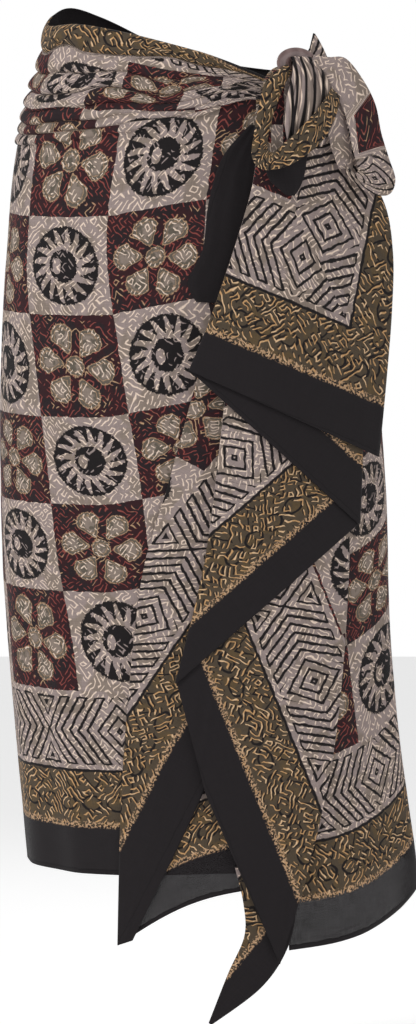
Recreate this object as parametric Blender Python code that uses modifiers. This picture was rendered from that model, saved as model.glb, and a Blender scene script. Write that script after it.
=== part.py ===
"""A batik wrap sarong, as it hangs when worn: a wrapped cloth tube, gathered at the waist,
with both ends pulled through an oval ring on the hip and falling as a bow and a cascade.

+X is to the right as seen from the front, -Y is the front and +Z is up.
The origin is the middle of the waist, where the wearer holds the cloth up.
"""

import math

import bmesh
import bpy
from mathutils import Matrix, Vector

MM = 0.001

# Driving dimensions, in millimetres
CLOTH_WALL = 1.3
SEAM_GAP = 0.6
TUBE_ROUNDNESS = 2.1
DRAPE_TURN = 0.72
UNDERLAP_LIFT = 5.0
WAIST_PLEATS = 6
WAIST_PLEAT_HEIGHT = 4.2
HEM_WAVE_HEIGHT = 5.0
ROWS_BELOW_PLEATS = 11
ROWS_PER_PLEAT = 3
WALL_ROWS = ROWS_BELOW_PLEATS + WAIST_PLEATS * ROWS_PER_PLEAT
PLEAT_START = ROWS_BELOW_PLEATS / WALL_ROWS

# Angles round the tube, in degrees: 0 is the right side, 90 the back, 180 the left side, 270 the front
RIGHT_SEAM = 0.0
LEFT_SEAM = 180.0
FRONT_PANEL_END = 298.0
HIP_PANEL_END = 291.0

# The tube: height, then where its left, right, front and back lie
TUBE_ROWS = (
    (-940, -181, 236, -162, 148),
    (-860, -185, 232, -160, 146),
    (-780, -192, 221, -156, 143),
    (-700, -200, 211, -153, 141),
    (-600, -208, 203, -150, 141),
    (-470, -214, 200, -148, 142),
    (-350, -214, 192, -147, 142),
    (-200, -207, 186, -140, 136),
    (-95, -197, 174, -124, 122),
    (-42, -185, 166, -112, 114),
    (0, -170, 158, -104, 108),
    (62, -161, 151, -98, 104),
)

# Round the waist and hem: angle, top edge, lower end of the waist pleats, hem, share of the pleats' height
EDGE_ROWS = (
    (-76, -42, -70, -931, 0.0),
    (-56, -36, -66, -921, 0.5),
    (-30, -26, -86, -892, 0.8),
    (-14, -20, -98, -864, 0.85),
    (0, -18, -104, -852, 0.9),
    (35, -2, -100, -849, 0.55),
    (90, 22, -70, -842, 0.35),
    (128, 62, -60, -840, 0.5),
    (148, 71, -60, -839, 0.7),
    (168, 60, -72, -839, 0.9),
    (180, 49, -80, -841, 1.0),
    (195, 43, -84, -845, 1.0),
    (220, 41, -86, -851, 1.0),
    (240, 32, -80, -853, 1.0),
    (255, 22, -74, -852, 1.0),
    (272, 8, -62, -850, 0.9),
    (289, -10, -42, -850, 0.3),
    (298, -20, -46, -851, 0.0),
)

# Soft folds that grow towards the hem: angle of the crest, width in degrees, share of the height
HEM_FOLDS = (
    (-52, 9, 0.7),
    (-18, 8, 1.3),
    (22, 12, 0.8),
    (58, 11, 1.1),
    (92, 13, 1.0),
    (125, 10, 1.2),
    (158, 11, 0.8),
    (202, 9, 0.9),
    (226, 7, 1.1),
)

# Fold lines of the cascade from the ring down to the cloth's edge: x, z of each row.
# The first is the cloth's top edge, the last is hidden behind the lowest fold.
CASCADE_LINES = (
    ((124, -47), (160, -95), (193, -147), (203, -200), (202, -262), (196, -336), (188, -417)),
    ((80, -54), (65, -84), (56, -137), (43, -184), (26, -236), (9, -284), (-10, -329)),
    ((118, -55), (137, -105), (152, -168), (163, -242), (168, -326), (169, -410), (166, -487)),
    ((88, -54.5), (68, -116), (50, -189), (36, -284), (23, -399), (6, -529), (-24, -652)),
    ((97, -54.5), (87, -147), (71, -263), (55, -389), (40, -515), (23, -641), (6, -767)),
    ((103, -57), (105, -189), (104, -326), (101, -473), (97, -625), (90, -782), (83, -943)),
    ((111, -57), (131, -179), (145, -305), (154, -431), (153, -567), (137, -730), (104, -875)),
    ((99, -57), (95, -179), (92, -305), (88, -431), (82, -567), (74, -719), (67, -861)),
)
# For each line: how far its nearer and farther layers stand in front of the tube,
# at the ring and at the cloth's edge
CASCADE_LIFTS = (
    (38.0, 38.0, 30.0, 30.0),
    (36.5, 33.0, 28.6, 25.4),
    (31.5, 28.0, 24.0, 20.8),
    (26.5, 23.0, 16.2, 13.2),
    (22.5, 22.5, 12.4, 12.4),
    (22.5, 22.5, 12.4, 12.4),
    (22.0, 18.5, 12.0, 9.0),
    (17.0, 17.0, 7.2, 7.2),
)

# The corner of the other end: hidden right side, left fold, free edge
CORNER_LINES = (
    ((48, -325), (54, -441), (57, -567), (59, -672), (59, -777), (56, -866)),
    ((2, -325), (-31, -446), (-57, -536), (-71, -651), (-80, -777), (-84, -925)),
    ((45, -325), (55, -446), (60, -557), (48, -655), (3, -767), (-70, -920)),
)
CORNER_LIFTS = ((1.6, 1.6, 1.6, 1.6), (1.6, 5.2, 1.6, 5.2), (5.2, 5.2, 5.2, 5.2))
CORNER_HEM_ARCH = 12.0

# The turned back band below the waist: free edge and inner side
BAND_LINES = (
    ((52, -69), (23, -105), (9, -152), (3, -200), (-13, -235), (-4, -256)),
    ((67, -71), (59, -116), (55, -158), (49, -200), (42, -236), (31, -258)),
)
BAND_LIFTS = ((1.75, 1.75, 1.75, 1.75), (1.75, 1.75, 1.75, 1.75))

# The lowest corner, seen from its other side
TIP_LINES = (
    ((36, -842), (45, -880), (46, -914), (29, -953), (9, -1004)),
    ((97, -850), (100, -887), (90, -929), (63, -968), (12, -1006)),
)
TIP_LIFTS = ((5.5, 5.5, 5.5, 5.5), (5.5, 5.5, 5.5, 5.5))

# The bow: for each row, x and z of both edges and how far it stands in front of the tube
LEFT_LOOP_ROWS = (
    (90, -8, 96, -14, 51.6),
    (69, -27, 86, -35, 56),
    (61, -55, 78, -57, 58),
    (56, -84, 71, -82, 60),
    (54, -108, 70, -99, 62),
    (65, -121, 75, -103, 65),
    (88, -118, 83, -97, 68),
    (111, -104, 101, -80, 70),
    (131, -84, 120, -59, 70),
    (143, -57, 132, -41, 67.5),
    (146, -40, 137, -32, 63.3),
)
FAN_ROWS = (
    (96, -12, 108, -11, 38.8),
    (96, -5, 108, -4, 42),
    (97, -3, 109, -2, 48.5),
    (99, -6, 115, -4, 54),
    (97, -21, 130, -18, 59.5),
    (90, -47, 140, -45, 61),
    (88, -71, 137, -71, 58),
    (92, -94, 127, -94, 54),
)
RIGHT_LOOP_ROWS = (
    (119, 3, 117, -2, 49.2),
    (135, 2, 129, -10, 51.5),
    (153, 1, 140, -23, 57),
    (171, -21, 149, -46, 62),
    (184, -47, 155, -71, 64),
    (190, -77, 160, -97, 64),
    (198, -103, 164, -112, 63),
    (205, -126, 165, -117, 60),
    (197, -142, 164, -120, 57),
    (174, -139, 160, -120, 55.5),
    (152, -122, 153, -112, 55),
)
BACK_STRAND_ROWS = (
    (128, -30, 138, -25, 54),
    (130, -46, 145, -41, 56),
    (132, -68, 152, -65, 54),
    (137, -95, 158, -92, 51.5),
    (145, -116, 160, -117, 49.4),
)
INNER_LOOP_ROWS = (
    (86, -22, 95, -20, 49.6),
    (79, -36, 93, -34, 49.6),
    (76, -58, 95, -58, 49),
    (74, -86, 95, -84, 48),
    (77, -113, 94, -106, 48),
)
BOW_TAIL_ROWS = (
    (67, -111, 112, -99, 45),
    (71, -128, 109, -122, 44),
    (81, -139, 104, -137, 42.5),
    (90, -146, 98, -146, 41),
)
BOW_TIP_ROWS = (
    (108, 0, 136, -6, 40.0),
    (114, 10, 133, 4, 39.2),
    (117, 20, 127, 17, 36),
    (119, 28, 121, 27, 35),
)
FAN_PLEATS = 4
FAN_PLEAT_HEIGHT = 1.6
LOOP_CUP = 3.0

# The ring that the ends are pulled through, and the knot behind it
RING_CENTRE = (102.0, -6.5)
RING_LIFT = 44.0
RING_MIDDLE_RADIUS = 18.5
RING_BAND_RADIUS = 6.2
RING_THICKNESS_SHARE = 0.36
RING_HEIGHT_SHARE = 0.7
RING_LEAN = math.radians(5)
KNOT_CENTRE = (88.0, -32.0)
KNOT_LIFT = 23.5
KNOT_HALF_SIZES = (24.0, 14.3, 23.2)
KNOT_PLEATS = 9
KNOT_PLEAT_SHARE = 0.07

# Colours, roughness
PRINTED = (0.33, 0.27, 0.24, 1.0)
DARK_PRINT = (0.12, 0.07, 0.06, 1.0)
BROWN_PRINT = (0.16, 0.11, 0.06, 1.0)
BLACK_BAND = (0.020, 0.018, 0.019, 1.0)
SHELL = (0.26, 0.17, 0.15, 1.0)
CLOTH_ROUGHNESS = 0.85
SHELL_ROUGHNESS = 0.25


def clear_scene():
    """Removes the objects of the startup scene."""
    for found in list(bpy.data.objects):
        bpy.data.objects.remove(found)


def smooth_step(value):
    """0 below 0, 1 above 1 and a smooth rise between them."""
    inside = min(1.0, max(0.0, value))
    return inside * inside * (3 - 2 * inside)


def curve_through(rows, place):
    """The smooth curve through rows of numbers, at a place from 0, the first, to 1, the last."""
    last = len(rows) - 1
    at = min(max(place, 0.0), 1.0) * last
    index = min(int(at), last - 1)
    part = at - index
    before = rows[max(index - 1, 0)]
    start = rows[index]
    end = rows[index + 1]
    after = rows[min(index + 2, last)]
    found = []
    for b, s, e, a in zip(before, start, end, after):
        lead = (e - b) / 2
        trail = (a - s) / 2
        found.append(
            s
            + part * lead
            + part**2 * (3 * (e - s) - 2 * lead - trail)
            + part**3 * (2 * (s - e) + lead + trail)
        )
    return found


def row_at(table, key):
    """A table's other columns where its first column has the value key, read smoothly."""
    keys = [row[0] for row in table]
    if key <= keys[0]:
        return list(table[0][1:])
    if key >= keys[-1]:
        return list(table[-1][1:])
    index = max(i for i, value in enumerate(keys) if value <= key)
    index = min(index, len(keys) - 2)
    width = keys[index + 1] - keys[index]
    part = (key - keys[index]) / width
    found = []
    for column in range(1, len(table[0])):
        start, end = table[index][column], table[index + 1][column]
        slope = (end - start) / width
        lead = trail = slope
        if index > 0:
            back = (start - table[index - 1][column]) / (keys[index] - keys[index - 1])
            lead = (back + slope) / 2
        if index + 2 < len(keys):
            onward = (table[index + 2][column] - end) / (keys[index + 2] - keys[index + 1])
            trail = (slope + onward) / 2
        rise = end - start
        found.append(
            start
            + part * lead * width
            + part**2 * (3 * rise - (2 * lead + trail) * width)
            + part**3 * ((lead + trail) * width - 2 * rise)
        )
    return found


def tube_section(height):
    """Middle x and y and half width and depth of the tube at a height."""
    left, right, front, back = row_at(TUBE_ROWS, height)
    return (left + right) / 2, (front + back) / 2, (right - left) / 2, (back - front) / 2


def tube_point(angle, height, lift=0.0):
    """A point of the tube's wall, moved out from it by lift."""
    x_middle, y_middle, half_width, half_depth = tube_section(height)
    turn = math.radians(angle)
    power = 2 / TUBE_ROUNDNESS
    x_share = math.copysign(abs(math.cos(turn)) ** power, math.cos(turn))
    y_share = math.copysign(abs(math.sin(turn)) ** power, math.sin(turn))
    return (
        x_middle + (half_width + lift) * x_share,
        y_middle + (half_depth + lift) * y_share,
        height,
    )


def drape_depth(x, z):
    """The y of the tube's front at x, going on straight past its turn to the side."""
    x_middle, y_middle, half_width, half_depth = tube_section(z)
    share = abs(x - x_middle) / half_width
    near = min(share, DRAPE_TURN)
    rest = 1 - near**TUBE_ROUNDNESS
    depth = rest ** (1 / TUBE_ROUNDNESS)
    slope = near ** (TUBE_ROUNDNESS - 1) * rest ** (1 / TUBE_ROUNDNESS - 1)
    return y_middle - half_depth * (depth - slope * (share - near))


def in_front(x, z, lift):
    """The point at x and z that stands in front of the tube by lift, in metres."""
    return Vector((x, drape_depth(x, z) - lift, z)) * MM


def edge_heights(angle):
    """Top edge, lower end of the pleats, hem and pleat share at an angle, which is -90 to 300."""
    return row_at(EDGE_ROWS, angle)


def hem_swell(angle, height):
    """How far the soft folds of the skirt stand out, growing from the hip to the hem."""
    growth = smooth_step((-height - 150) / 700)
    total = 0.0
    for crest, width, share in HEM_FOLDS:
        total += share * math.exp(-(((angle - crest) / width) ** 2))
    return HEM_WAVE_HEIGHT * growth * (total - 0.45)


def waist_swell(angle, rise):
    """How far the waist pleats stand out at a rise from 0, their lower end, to 1, the top edge."""
    share = edge_heights(angle)[3]
    wave = 0.5 - 0.5 * math.cos(2 * math.pi * WAIST_PLEATS * rise)
    ends = smooth_step(rise * WAIST_PLEATS)
    return WAIST_PLEAT_HEIGHT * share * wave**0.8 * ends


def wall_point(angle, along, lift):
    """A point of the wrapped wall. Along is 0 at the hem, PLEAT_START at the pleats and 1 at the top."""
    top, low, hem, _ = edge_heights(angle)
    if along < PLEAT_START:
        rise = 0.0
        height = hem + (low - hem) * along / PLEAT_START
    else:
        rise = (along - PLEAT_START) / (1 - PLEAT_START)
        height = low + (top - low) * rise
    swell = hem_swell(angle, height) + waist_swell(angle, rise)
    return Vector(tube_point(angle, height, lift + swell)) * MM


def cloth_grid(columns, rows, place):
    """A mesh of columns by rows faces, each point set by place(across, along), both 0 to 1."""
    shell = bmesh.new()
    bmesh.ops.create_grid(shell, x_segments=columns, y_segments=rows, size=0.5)
    for corner in shell.verts:
        corner.co = place(corner.co.x + 0.5, corner.co.y + 0.5)
    mesh = bpy.data.meshes.new("cloth")
    shell.to_mesh(mesh)
    shell.free()
    return mesh


def add_cloth(name, mesh, colour, collection):
    """One stretch of cloth as a named object, thickened to the cloth's wall."""
    piece = bpy.data.objects.new(name, mesh)
    collection.objects.link(piece)
    mesh.materials.append(finish(name, colour, CLOTH_ROUGHNESS))
    mesh.shade_smooth()
    wall = piece.modifiers.new("wall", "SOLIDIFY")
    wall.thickness = CLOTH_WALL * MM
    wall.offset = 0.0
    return piece


def finish(name, colour, roughness):
    """A plain material of one colour."""
    material = bpy.data.materials.new(name)
    material.use_nodes = True
    shader = material.node_tree.nodes["Principled BSDF"]
    shader.inputs["Base Color"].default_value = colour
    shader.inputs["Roughness"].default_value = roughness
    shader.inputs["Metallic"].default_value = 0.0
    return material


def wrapped_panels(collection):
    """The three stretches that go round the wearer: front, back and the right hip."""
    seam = math.degrees(SEAM_GAP / 2 / row_at(TUBE_ROWS, -300)[3])

    def front(across, along):
        angle = LEFT_SEAM + seam + across * (FRONT_PANEL_END - LEFT_SEAM - seam)
        return wall_point(angle, along, 0.0)

    def back(across, along):
        angle = RIGHT_SEAM + seam + across * (LEFT_SEAM - RIGHT_SEAM - 2 * seam)
        return wall_point(angle, along, 0.0)

    def hip(across, along):
        start = HIP_PANEL_END - 360
        angle = start + across * (RIGHT_SEAM - seam - start)
        lift = UNDERLAP_LIFT * smooth_step((RIGHT_SEAM - angle) / 30)
        return wall_point(angle, along, lift)

    add_cloth("front_panel", cloth_grid(22, WALL_ROWS, front), PRINTED, collection)
    add_cloth("back_panel", cloth_grid(24, WALL_ROWS, back), PRINTED, collection)
    add_cloth("hip_panel", cloth_grid(10, WALL_ROWS, hip), PRINTED, collection)


def stations(line_count, panel_steps, turn_steps, pass_lines):
    """The columns of a folded sheet, as (line, share of the way to the next, turn in radians or None)."""
    found = [(0, 0.0, None)]
    for line in range(line_count - 1):
        for step in range(1, panel_steps[line]):
            found.append((line, step / panel_steps[line], None))
        end = line + 1
        if end == line_count - 1 or end in pass_lines:
            found.append((line, 1.0, None))
        else:
            for step in range(turn_steps + 1):
                found.append((end, 0.0, math.pi * step / turn_steps))
    return found


def layer_lifts(lifts, along):
    """How far the nearer and farther layers of a fold line stand out at a place from 0 to 1."""
    near_top, far_top, near_low, far_low = lifts
    return near_top + (near_low - near_top) * along, far_top + (far_low - far_top) * along


def folded_point(lines, lifts, station, along, belly):
    """The point of a folded sheet at a column's station and a row's place from 0 to 1."""
    line, share, turn = station
    here = curve_through(lines[line], along)
    near, far = layer_lifts(lifts[line], along)
    if turn is None:
        there = curve_through(lines[line + 1], along)
        lift = far + (layer_lifts(lifts[line + 1], along)[0] - far) * share
        lift += belly * math.sin(math.pi * share) * math.sin(math.pi * along)
        x = here[0] + (there[0] - here[0]) * share
        z = here[1] + (there[1] - here[1]) * share
        return in_front(x, z, lift)
    before = curve_through(lines[line - 1], along)
    after = curve_through(lines[line + 1], along)
    out = Vector((here[0] - (before[0] + after[0]) / 2, here[1] - (before[1] + after[1]) / 2))
    out.normalize()
    radius = (near - far) / 2
    reach = abs(radius) * math.sin(turn)
    lift = (near + far) / 2 + radius * math.cos(turn)
    return in_front(here[0] + out.x * reach, here[1] + out.y * reach, lift)


def folded_sheet(lines, lifts, panel_steps, rows, turn_steps=3, pass_lines=(), belly=0.0):
    """A sheet that runs from line to line and turns back at each, as the grid's columns say."""
    columns = stations(len(lines), panel_steps, turn_steps, pass_lines)
    last = len(columns) - 1

    def place(across, along):
        return folded_point(lines, lifts, columns[round(across * last)], 1 - along, belly)

    return cloth_grid(last, rows, place)


def cascade(collection):
    """The free end that falls in zigzag folds from the ring to the hem."""
    steps = (6, 6, 7, 4, 4, 3, 3)
    mesh = folded_sheet(CASCADE_LINES, CASCADE_LIFTS, steps, 18, pass_lines=(4, 5), belly=1.0)
    add_cloth("cascade", mesh, BROWN_PRINT, collection)


def corner_fold(collection):
    """The lower corner of the other end, folded back along its left side."""
    columns = stations(3, (6, 6), 3, ())
    last = len(columns) - 1

    def place(across, along):
        line, share, turn = columns[round(across * last)]
        point = folded_point(CORNER_LINES, CORNER_LIFTS, (line, share, turn), 1 - along, 0.0)
        if line == 0 and turn is None:
            arch = CORNER_HEM_ARCH * math.sin(math.pi * share) * smooth_step(1 - 3 * along)
            point.z += arch * MM
        return point

    add_cloth("corner_fold", cloth_grid(last, 15, place), DARK_PRINT, collection)


def small_falls(collection):
    """The turned back band below the waist and the lowest corner's other side."""
    band = folded_sheet(BAND_LINES, BAND_LIFTS, (5,), 12)
    add_cloth("waist_band_fall", band, BLACK_BAND, collection)
    tip = folded_sheet(TIP_LINES, TIP_LIFTS, (5,), 12)
    add_cloth("lower_tip", tip, BLACK_BAND, collection)


def ribbon(rows, columns, lengths, cup=LOOP_CUP, pleats=0, pleat_height=0.0):
    """A strip of cloth along rows of two edges and a lift, cupped or pleated across."""

    def place(across, along):
        x_start, z_start, x_end, z_end, lift = curve_through(rows, 1 - along)
        x = x_start + (x_end - x_start) * across
        z = z_start + (z_end - z_start) * across
        width = math.hypot(x_end - x_start, z_end - z_start)
        swell = min(cup, width * 0.2) * math.sin(math.pi * across)
        if pleats:
            wave = 0.5 - 0.5 * math.cos(2 * math.pi * pleats * across)
            swell += pleat_height * wave * smooth_step((1 - along) * 3)
        return in_front(x, z, lift + swell)

    return cloth_grid(columns, lengths, place)


def bow(collection):
    """The loops, fan, tail and corner tip that come out of the ring."""
    add_cloth("bow_left_loop", ribbon(LEFT_LOOP_ROWS, 5, 24), BROWN_PRINT, collection)
    fan = ribbon(FAN_ROWS, FAN_PLEATS * 4, 14, 1.0, FAN_PLEATS, FAN_PLEAT_HEIGHT)
    add_cloth("bow_fan", fan, PRINTED, collection)
    add_cloth("bow_right_loop", ribbon(RIGHT_LOOP_ROWS, 5, 24), PRINTED, collection)
    add_cloth("bow_back_strand", ribbon(BACK_STRAND_ROWS, 4, 10), PRINTED, collection)
    add_cloth("bow_inner_loop", ribbon(INNER_LOOP_ROWS, 4, 10, 1.5), DARK_PRINT, collection)
    add_cloth("bow_tail", ribbon(BOW_TAIL_ROWS, 5, 7, 1.0), BLACK_BAND, collection)
    add_cloth("bow_tip", ribbon(BOW_TIP_ROWS, 5, 8, 2.0), PRINTED, collection)


def facing(x, z):
    """The turn that lays something flat along the tube's front at x and z."""
    slope = drape_depth(x + 1, z) - drape_depth(x, z)
    return Matrix.Rotation(math.atan(slope), 4, "Z")


def ring(collection):
    """The flat oval ring, leaning back a little."""
    bpy.ops.mesh.primitive_torus_add(
        major_segments=28,
        minor_segments=10,
        major_radius=RING_MIDDLE_RADIUS * MM,
        minor_radius=RING_BAND_RADIUS * MM,
    )
    made = bpy.context.object
    made.name = "hip_ring"
    made.data.name = "hip_ring"
    squeeze = Matrix.Diagonal((1.0, RING_HEIGHT_SHARE, RING_THICKNESS_SHARE, 1.0))
    stand = Matrix.Rotation(math.pi / 2 - RING_LEAN, 4, "X")
    made.data.transform(facing(*RING_CENTRE) @ stand @ squeeze)
    made.location = in_front(*RING_CENTRE, RING_LIFT)
    made.data.shade_smooth()
    made.data.materials.append(finish("hip_ring", SHELL, SHELL_ROUGHNESS))
    for holder in list(made.users_collection):
        holder.objects.unlink(made)
    collection.objects.link(made)


def knot(collection):
    """The gathered knot behind the ring, pleated along its length."""
    lump = bmesh.new()
    bmesh.ops.create_uvsphere(lump, u_segments=36, v_segments=10, radius=1.0)
    half_x, half_y, half_z = (size * MM for size in KNOT_HALF_SIZES)
    for corner in lump.verts:
        turn = math.atan2(corner.co.y, corner.co.x)
        flat = math.hypot(corner.co.x, corner.co.y)
        pleat = 1 + KNOT_PLEAT_SHARE * flat * math.cos(KNOT_PLEATS * turn)
        corner.co = Vector(
            (
                corner.co.z * half_x,
                corner.co.x * pleat * half_y,
                corner.co.y * pleat * half_z,
            )
        )
    mesh = bpy.data.meshes.new("waist_knot")
    lump.to_mesh(mesh)
    lump.free()
    mesh.shade_smooth()
    made = bpy.data.objects.new("waist_knot", mesh)
    mesh.transform(facing(*KNOT_CENTRE))
    made.location = in_front(*KNOT_CENTRE, KNOT_LIFT)
    mesh.materials.append(finish("waist_knot", PRINTED, CLOTH_ROUGHNESS))
    collection.objects.link(made)


def build():
    """Makes every sub-part of the sarong in one collection."""
    clear_scene()
    collection = bpy.data.collections.new("wrap_sarong")
    bpy.context.scene.collection.children.link(collection)
    wrapped_panels(collection)
    cascade(collection)
    corner_fold(collection)
    small_falls(collection)
    bow(collection)
    ring(collection)
    knot(collection)


build()
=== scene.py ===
"""Dresses the wrap sarong: printed cotton stretches, knot, bow and shell ring, in a plain studio.

Sizes are in millimetres, in the frame of the solids: +X right, -Y front, +Z up, origin mid waist.
"""

import logging
import math
from collections.abc import Callable, Sequence
from dataclasses import dataclass
from enum import Enum
from functools import lru_cache

import bmesh
import bpy
from mathutils import Matrix, Vector, noise


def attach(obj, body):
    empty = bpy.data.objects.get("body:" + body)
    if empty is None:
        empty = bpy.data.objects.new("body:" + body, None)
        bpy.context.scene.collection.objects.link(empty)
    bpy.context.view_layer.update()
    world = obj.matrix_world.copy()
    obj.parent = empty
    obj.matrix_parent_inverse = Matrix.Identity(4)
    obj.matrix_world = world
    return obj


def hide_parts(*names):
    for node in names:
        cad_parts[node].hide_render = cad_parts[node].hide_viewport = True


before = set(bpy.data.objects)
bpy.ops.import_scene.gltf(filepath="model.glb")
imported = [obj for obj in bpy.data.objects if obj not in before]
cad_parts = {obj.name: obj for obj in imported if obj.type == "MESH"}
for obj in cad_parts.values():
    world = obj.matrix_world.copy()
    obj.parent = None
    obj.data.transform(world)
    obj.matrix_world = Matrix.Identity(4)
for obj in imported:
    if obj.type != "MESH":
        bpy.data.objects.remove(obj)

LOG = logging.getLogger("sarong")
MM = 0.001

Row = tuple[float, ...]
Table = tuple[Row, ...]
Placed = tuple[Vector, float, float]
Line = tuple[tuple[float, float], ...]


def smooth_step(value: float) -> float:
    """0 below 0, 1 above 1 and a smooth rise between them."""
    inside = min(1.0, max(0.0, value))
    return inside * inside * (3 - 2 * inside)


def hump(value: float, crest: float, width: float) -> float:
    """A bell round a crest, 1 at its top."""
    return math.exp(-(((value - crest) / width) ** 2))


def curve_through(rows: Sequence[Sequence[float]], place: float) -> list[float]:
    """Follows the smooth curve through rows of numbers.

    Args:
        rows: The rows, all of one length.
        place: From 0, the first row, to 1, the last.

    Returns:
        The row at that place.
    """
    last = len(rows) - 1
    at = min(max(place, 0.0), 1.0) * last
    index = min(int(at), last - 1)
    part = at - index
    before, start = rows[max(index - 1, 0)], rows[index]
    end, after = rows[index + 1], rows[min(index + 2, last)]
    found = []
    for b, s, e, a in zip(before, start, end, after):
        lead, trail = (e - b) / 2, (a - s) / 2
        found.append(
            s
            + part * lead
            + part**2 * (3 * (e - s) - 2 * lead - trail)
            + part**3 * (2 * (s - e) + lead + trail)
        )
    return found


@lru_cache(maxsize=20000)
def row_at(table: Table, key: float) -> Row:
    """Reads a table smoothly.

    Args:
        table: Rows whose first column rises.
        key: The first column's value.

    Returns:
        The other columns at that value.
    """
    keys = [row[0] for row in table]
    if key <= keys[0]:
        return tuple(table[0][1:])
    if key >= keys[-1]:
        return tuple(table[-1][1:])
    index = min(max(i for i, value in enumerate(keys) if value <= key), len(keys) - 2)
    width = keys[index + 1] - keys[index]
    part = (key - keys[index]) / width
    found = []
    for column in range(1, len(table[0])):
        start, end = table[index][column], table[index + 1][column]
        slope = (end - start) / width
        lead = trail = slope
        if index > 0:
            back = (start - table[index - 1][column]) / (keys[index] - keys[index - 1])
            lead = (back + slope) / 2
        if index + 2 < len(keys):
            onward = (table[index + 2][column] - end) / (keys[index + 2] - keys[index + 1])
            trail = (slope + onward) / 2
        rise = end - start
        found.append(
            start
            + part * lead * width
            + part**2 * (3 * rise - (2 * lead + trail) * width)
            + part**3 * ((lead + trail) * width - 2 * rise)
        )
    return tuple(found)


def straight_at(table: Table, key: float) -> float:
    """Reads a table of two columns in straight lines.

    Args:
        table: Rows whose first column rises.
        key: The first column's value.

    Returns:
        The second column at that value.
    """
    if key <= table[0][0]:
        return table[0][1]
    for (start, low), (end, high) in zip(table, table[1:]):
        if key <= end:
            return low + (high - low) * (key - start) / (end - start)
    return table[-1][1]


def paint(red: int, green: int, blue: int) -> tuple[float, float, float, float]:
    """Makes a colour for a shader.

    Args:
        red: Red out of 255.
        green: Green out of 255.
        blue: Blue out of 255.

    Returns:
        The colour in linear channels, with no transparency.
    """

    def straight(value: int) -> float:
        """One channel made linear."""
        share = value / 255
        return share / 12.92 if share <= 0.04045 else ((share + 0.055) / 1.055) ** 2.4

    return straight(red), straight(green), straight(blue), 1.0


class Slot(Enum):
    """The record's material slots."""

    PRINTED = "printed_cotton"
    DARK = "dark_cotton"
    BORDER = "border_cotton"
    BLACK = "black_cotton"
    SHELL = "shell"


class Held(Enum):
    """How a stretch of cloth is held."""

    GATHERED = "gathered"
    HUNG = "hung"
    FOLDED = "folded"


@dataclass(frozen=True)
class Tube:
    """The wrapped skirt as one tube round a general figure, and the fall of cloth in front of it."""

    # Height; x of the left and right side; y of the front and back
    rows: Table = (
        (-940, -181, 236, -162, 148),
        (-860, -185, 232, -160, 146),
        (-780, -192, 221, -156, 143),
        (-700, -200, 211, -153, 141),
        (-600, -208, 203, -150, 141),
        (-470, -214, 200, -148, 142),
        (-350, -214, 192, -147, 142),
        (-200, -207, 186, -140, 136),
        (-95, -197, 174, -124, 122),
        (-42, -185, 166, -112, 114),
        (0, -170, 158, -104, 108),
        (62, -161, 151, -98, 104),
    )
    roundness: float = 2.1
    drape_turn: float = 0.72

    @lru_cache(maxsize=4000)
    def whole_section(self, height: int) -> Row:
        """Middle x and y, half width and half depth at a whole millimetre."""
        left, right, front, back = row_at(self.rows, float(height))
        return (left + right) / 2, (front + back) / 2, (right - left) / 2, (back - front) / 2

    def section(self, height: float) -> Row:
        """Finds the section at any height.

        Args:
            height: The height.

        Returns:
            Middle x and y, half width and half depth.
        """
        low = math.floor(height)
        part = height - low
        below, above = self.whole_section(low), self.whole_section(low + 1)
        return tuple(b + (a - b) * part for b, a in zip(below, above))

    @lru_cache(maxsize=4000)
    def shares(self, angle: float) -> tuple[float, float]:
        """Finds how far across and how deep the outline lies.

        Args:
            angle: In degrees, 270 in front.

        Returns:
            The shares of the half width and of the half depth, from -1 to 1.
        """
        turn = math.radians(angle)
        power = 2 / self.roundness
        across = math.copysign(abs(math.cos(turn)) ** power, math.cos(turn))
        return across, math.copysign(abs(math.sin(turn)) ** power, math.sin(turn))

    def point(self, angle: float, height: float, lift: float) -> Vector:
        """Finds a point of the wall.

        Args:
            angle: In degrees, 270 in front.
            height: The height.
            lift: How far outside the tube it is.

        Returns:
            The point.
        """
        x_middle, y_middle, half_width, half_depth = self.section(height)
        x_share, y_share = self.shares(angle)
        return Vector(
            (
                x_middle + (half_width + lift) * x_share,
                y_middle + (half_depth + lift) * y_share,
                height,
            )
        )

    def drape(self, x: float, z: float) -> float:
        """Finds the front, which goes on straight past its turn to the side.

        Args:
            x: Place across.
            z: The height.

        Returns:
            The y of the front there.
        """
        x_middle, y_middle, half_width, half_depth = self.section(z)
        share = abs(x - x_middle) / half_width
        near = min(share, self.drape_turn)
        rest = 1 - near**self.roundness
        depth = rest ** (1 / self.roundness)
        slope = near ** (self.roundness - 1) * rest ** (1 / self.roundness - 1)
        return y_middle - half_depth * (depth - slope * (share - near))

    def in_front(self, x: float, z: float, lift: float) -> Vector:
        """The point at x and z that stands in front of the tube by lift."""
        return Vector((x, self.drape(x, z) - lift, z))

    def facing(self, x: float, z: float) -> Matrix:
        """The turn that lays something flat along the front at x and z."""
        slope = self.drape(x + 1, z) - self.drape(x, z)
        return Matrix.Rotation(math.atan(slope), 4, "Z")

    @lru_cache(maxsize=2000)
    def round_from_front(self, angle: float) -> float:
        """Length along the outline from the middle of the front, growing to the left.

        Args:
            angle: In degrees, 270 in front, falling to the left, round the back and on.

        Returns:
            The length at mid height, in millimetres.
        """
        steps = max(2, int(abs(270 - angle) / 3))
        length = 0.0
        last = self.point(270, -500, 0)
        for step in range(1, steps + 1):
            here = self.point(270 + (angle - 270) * step / steps, -500, 0)
            length += (here - last).length
            last = here
        return math.copysign(length, 270 - angle)


TUBE = Tube()


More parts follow.
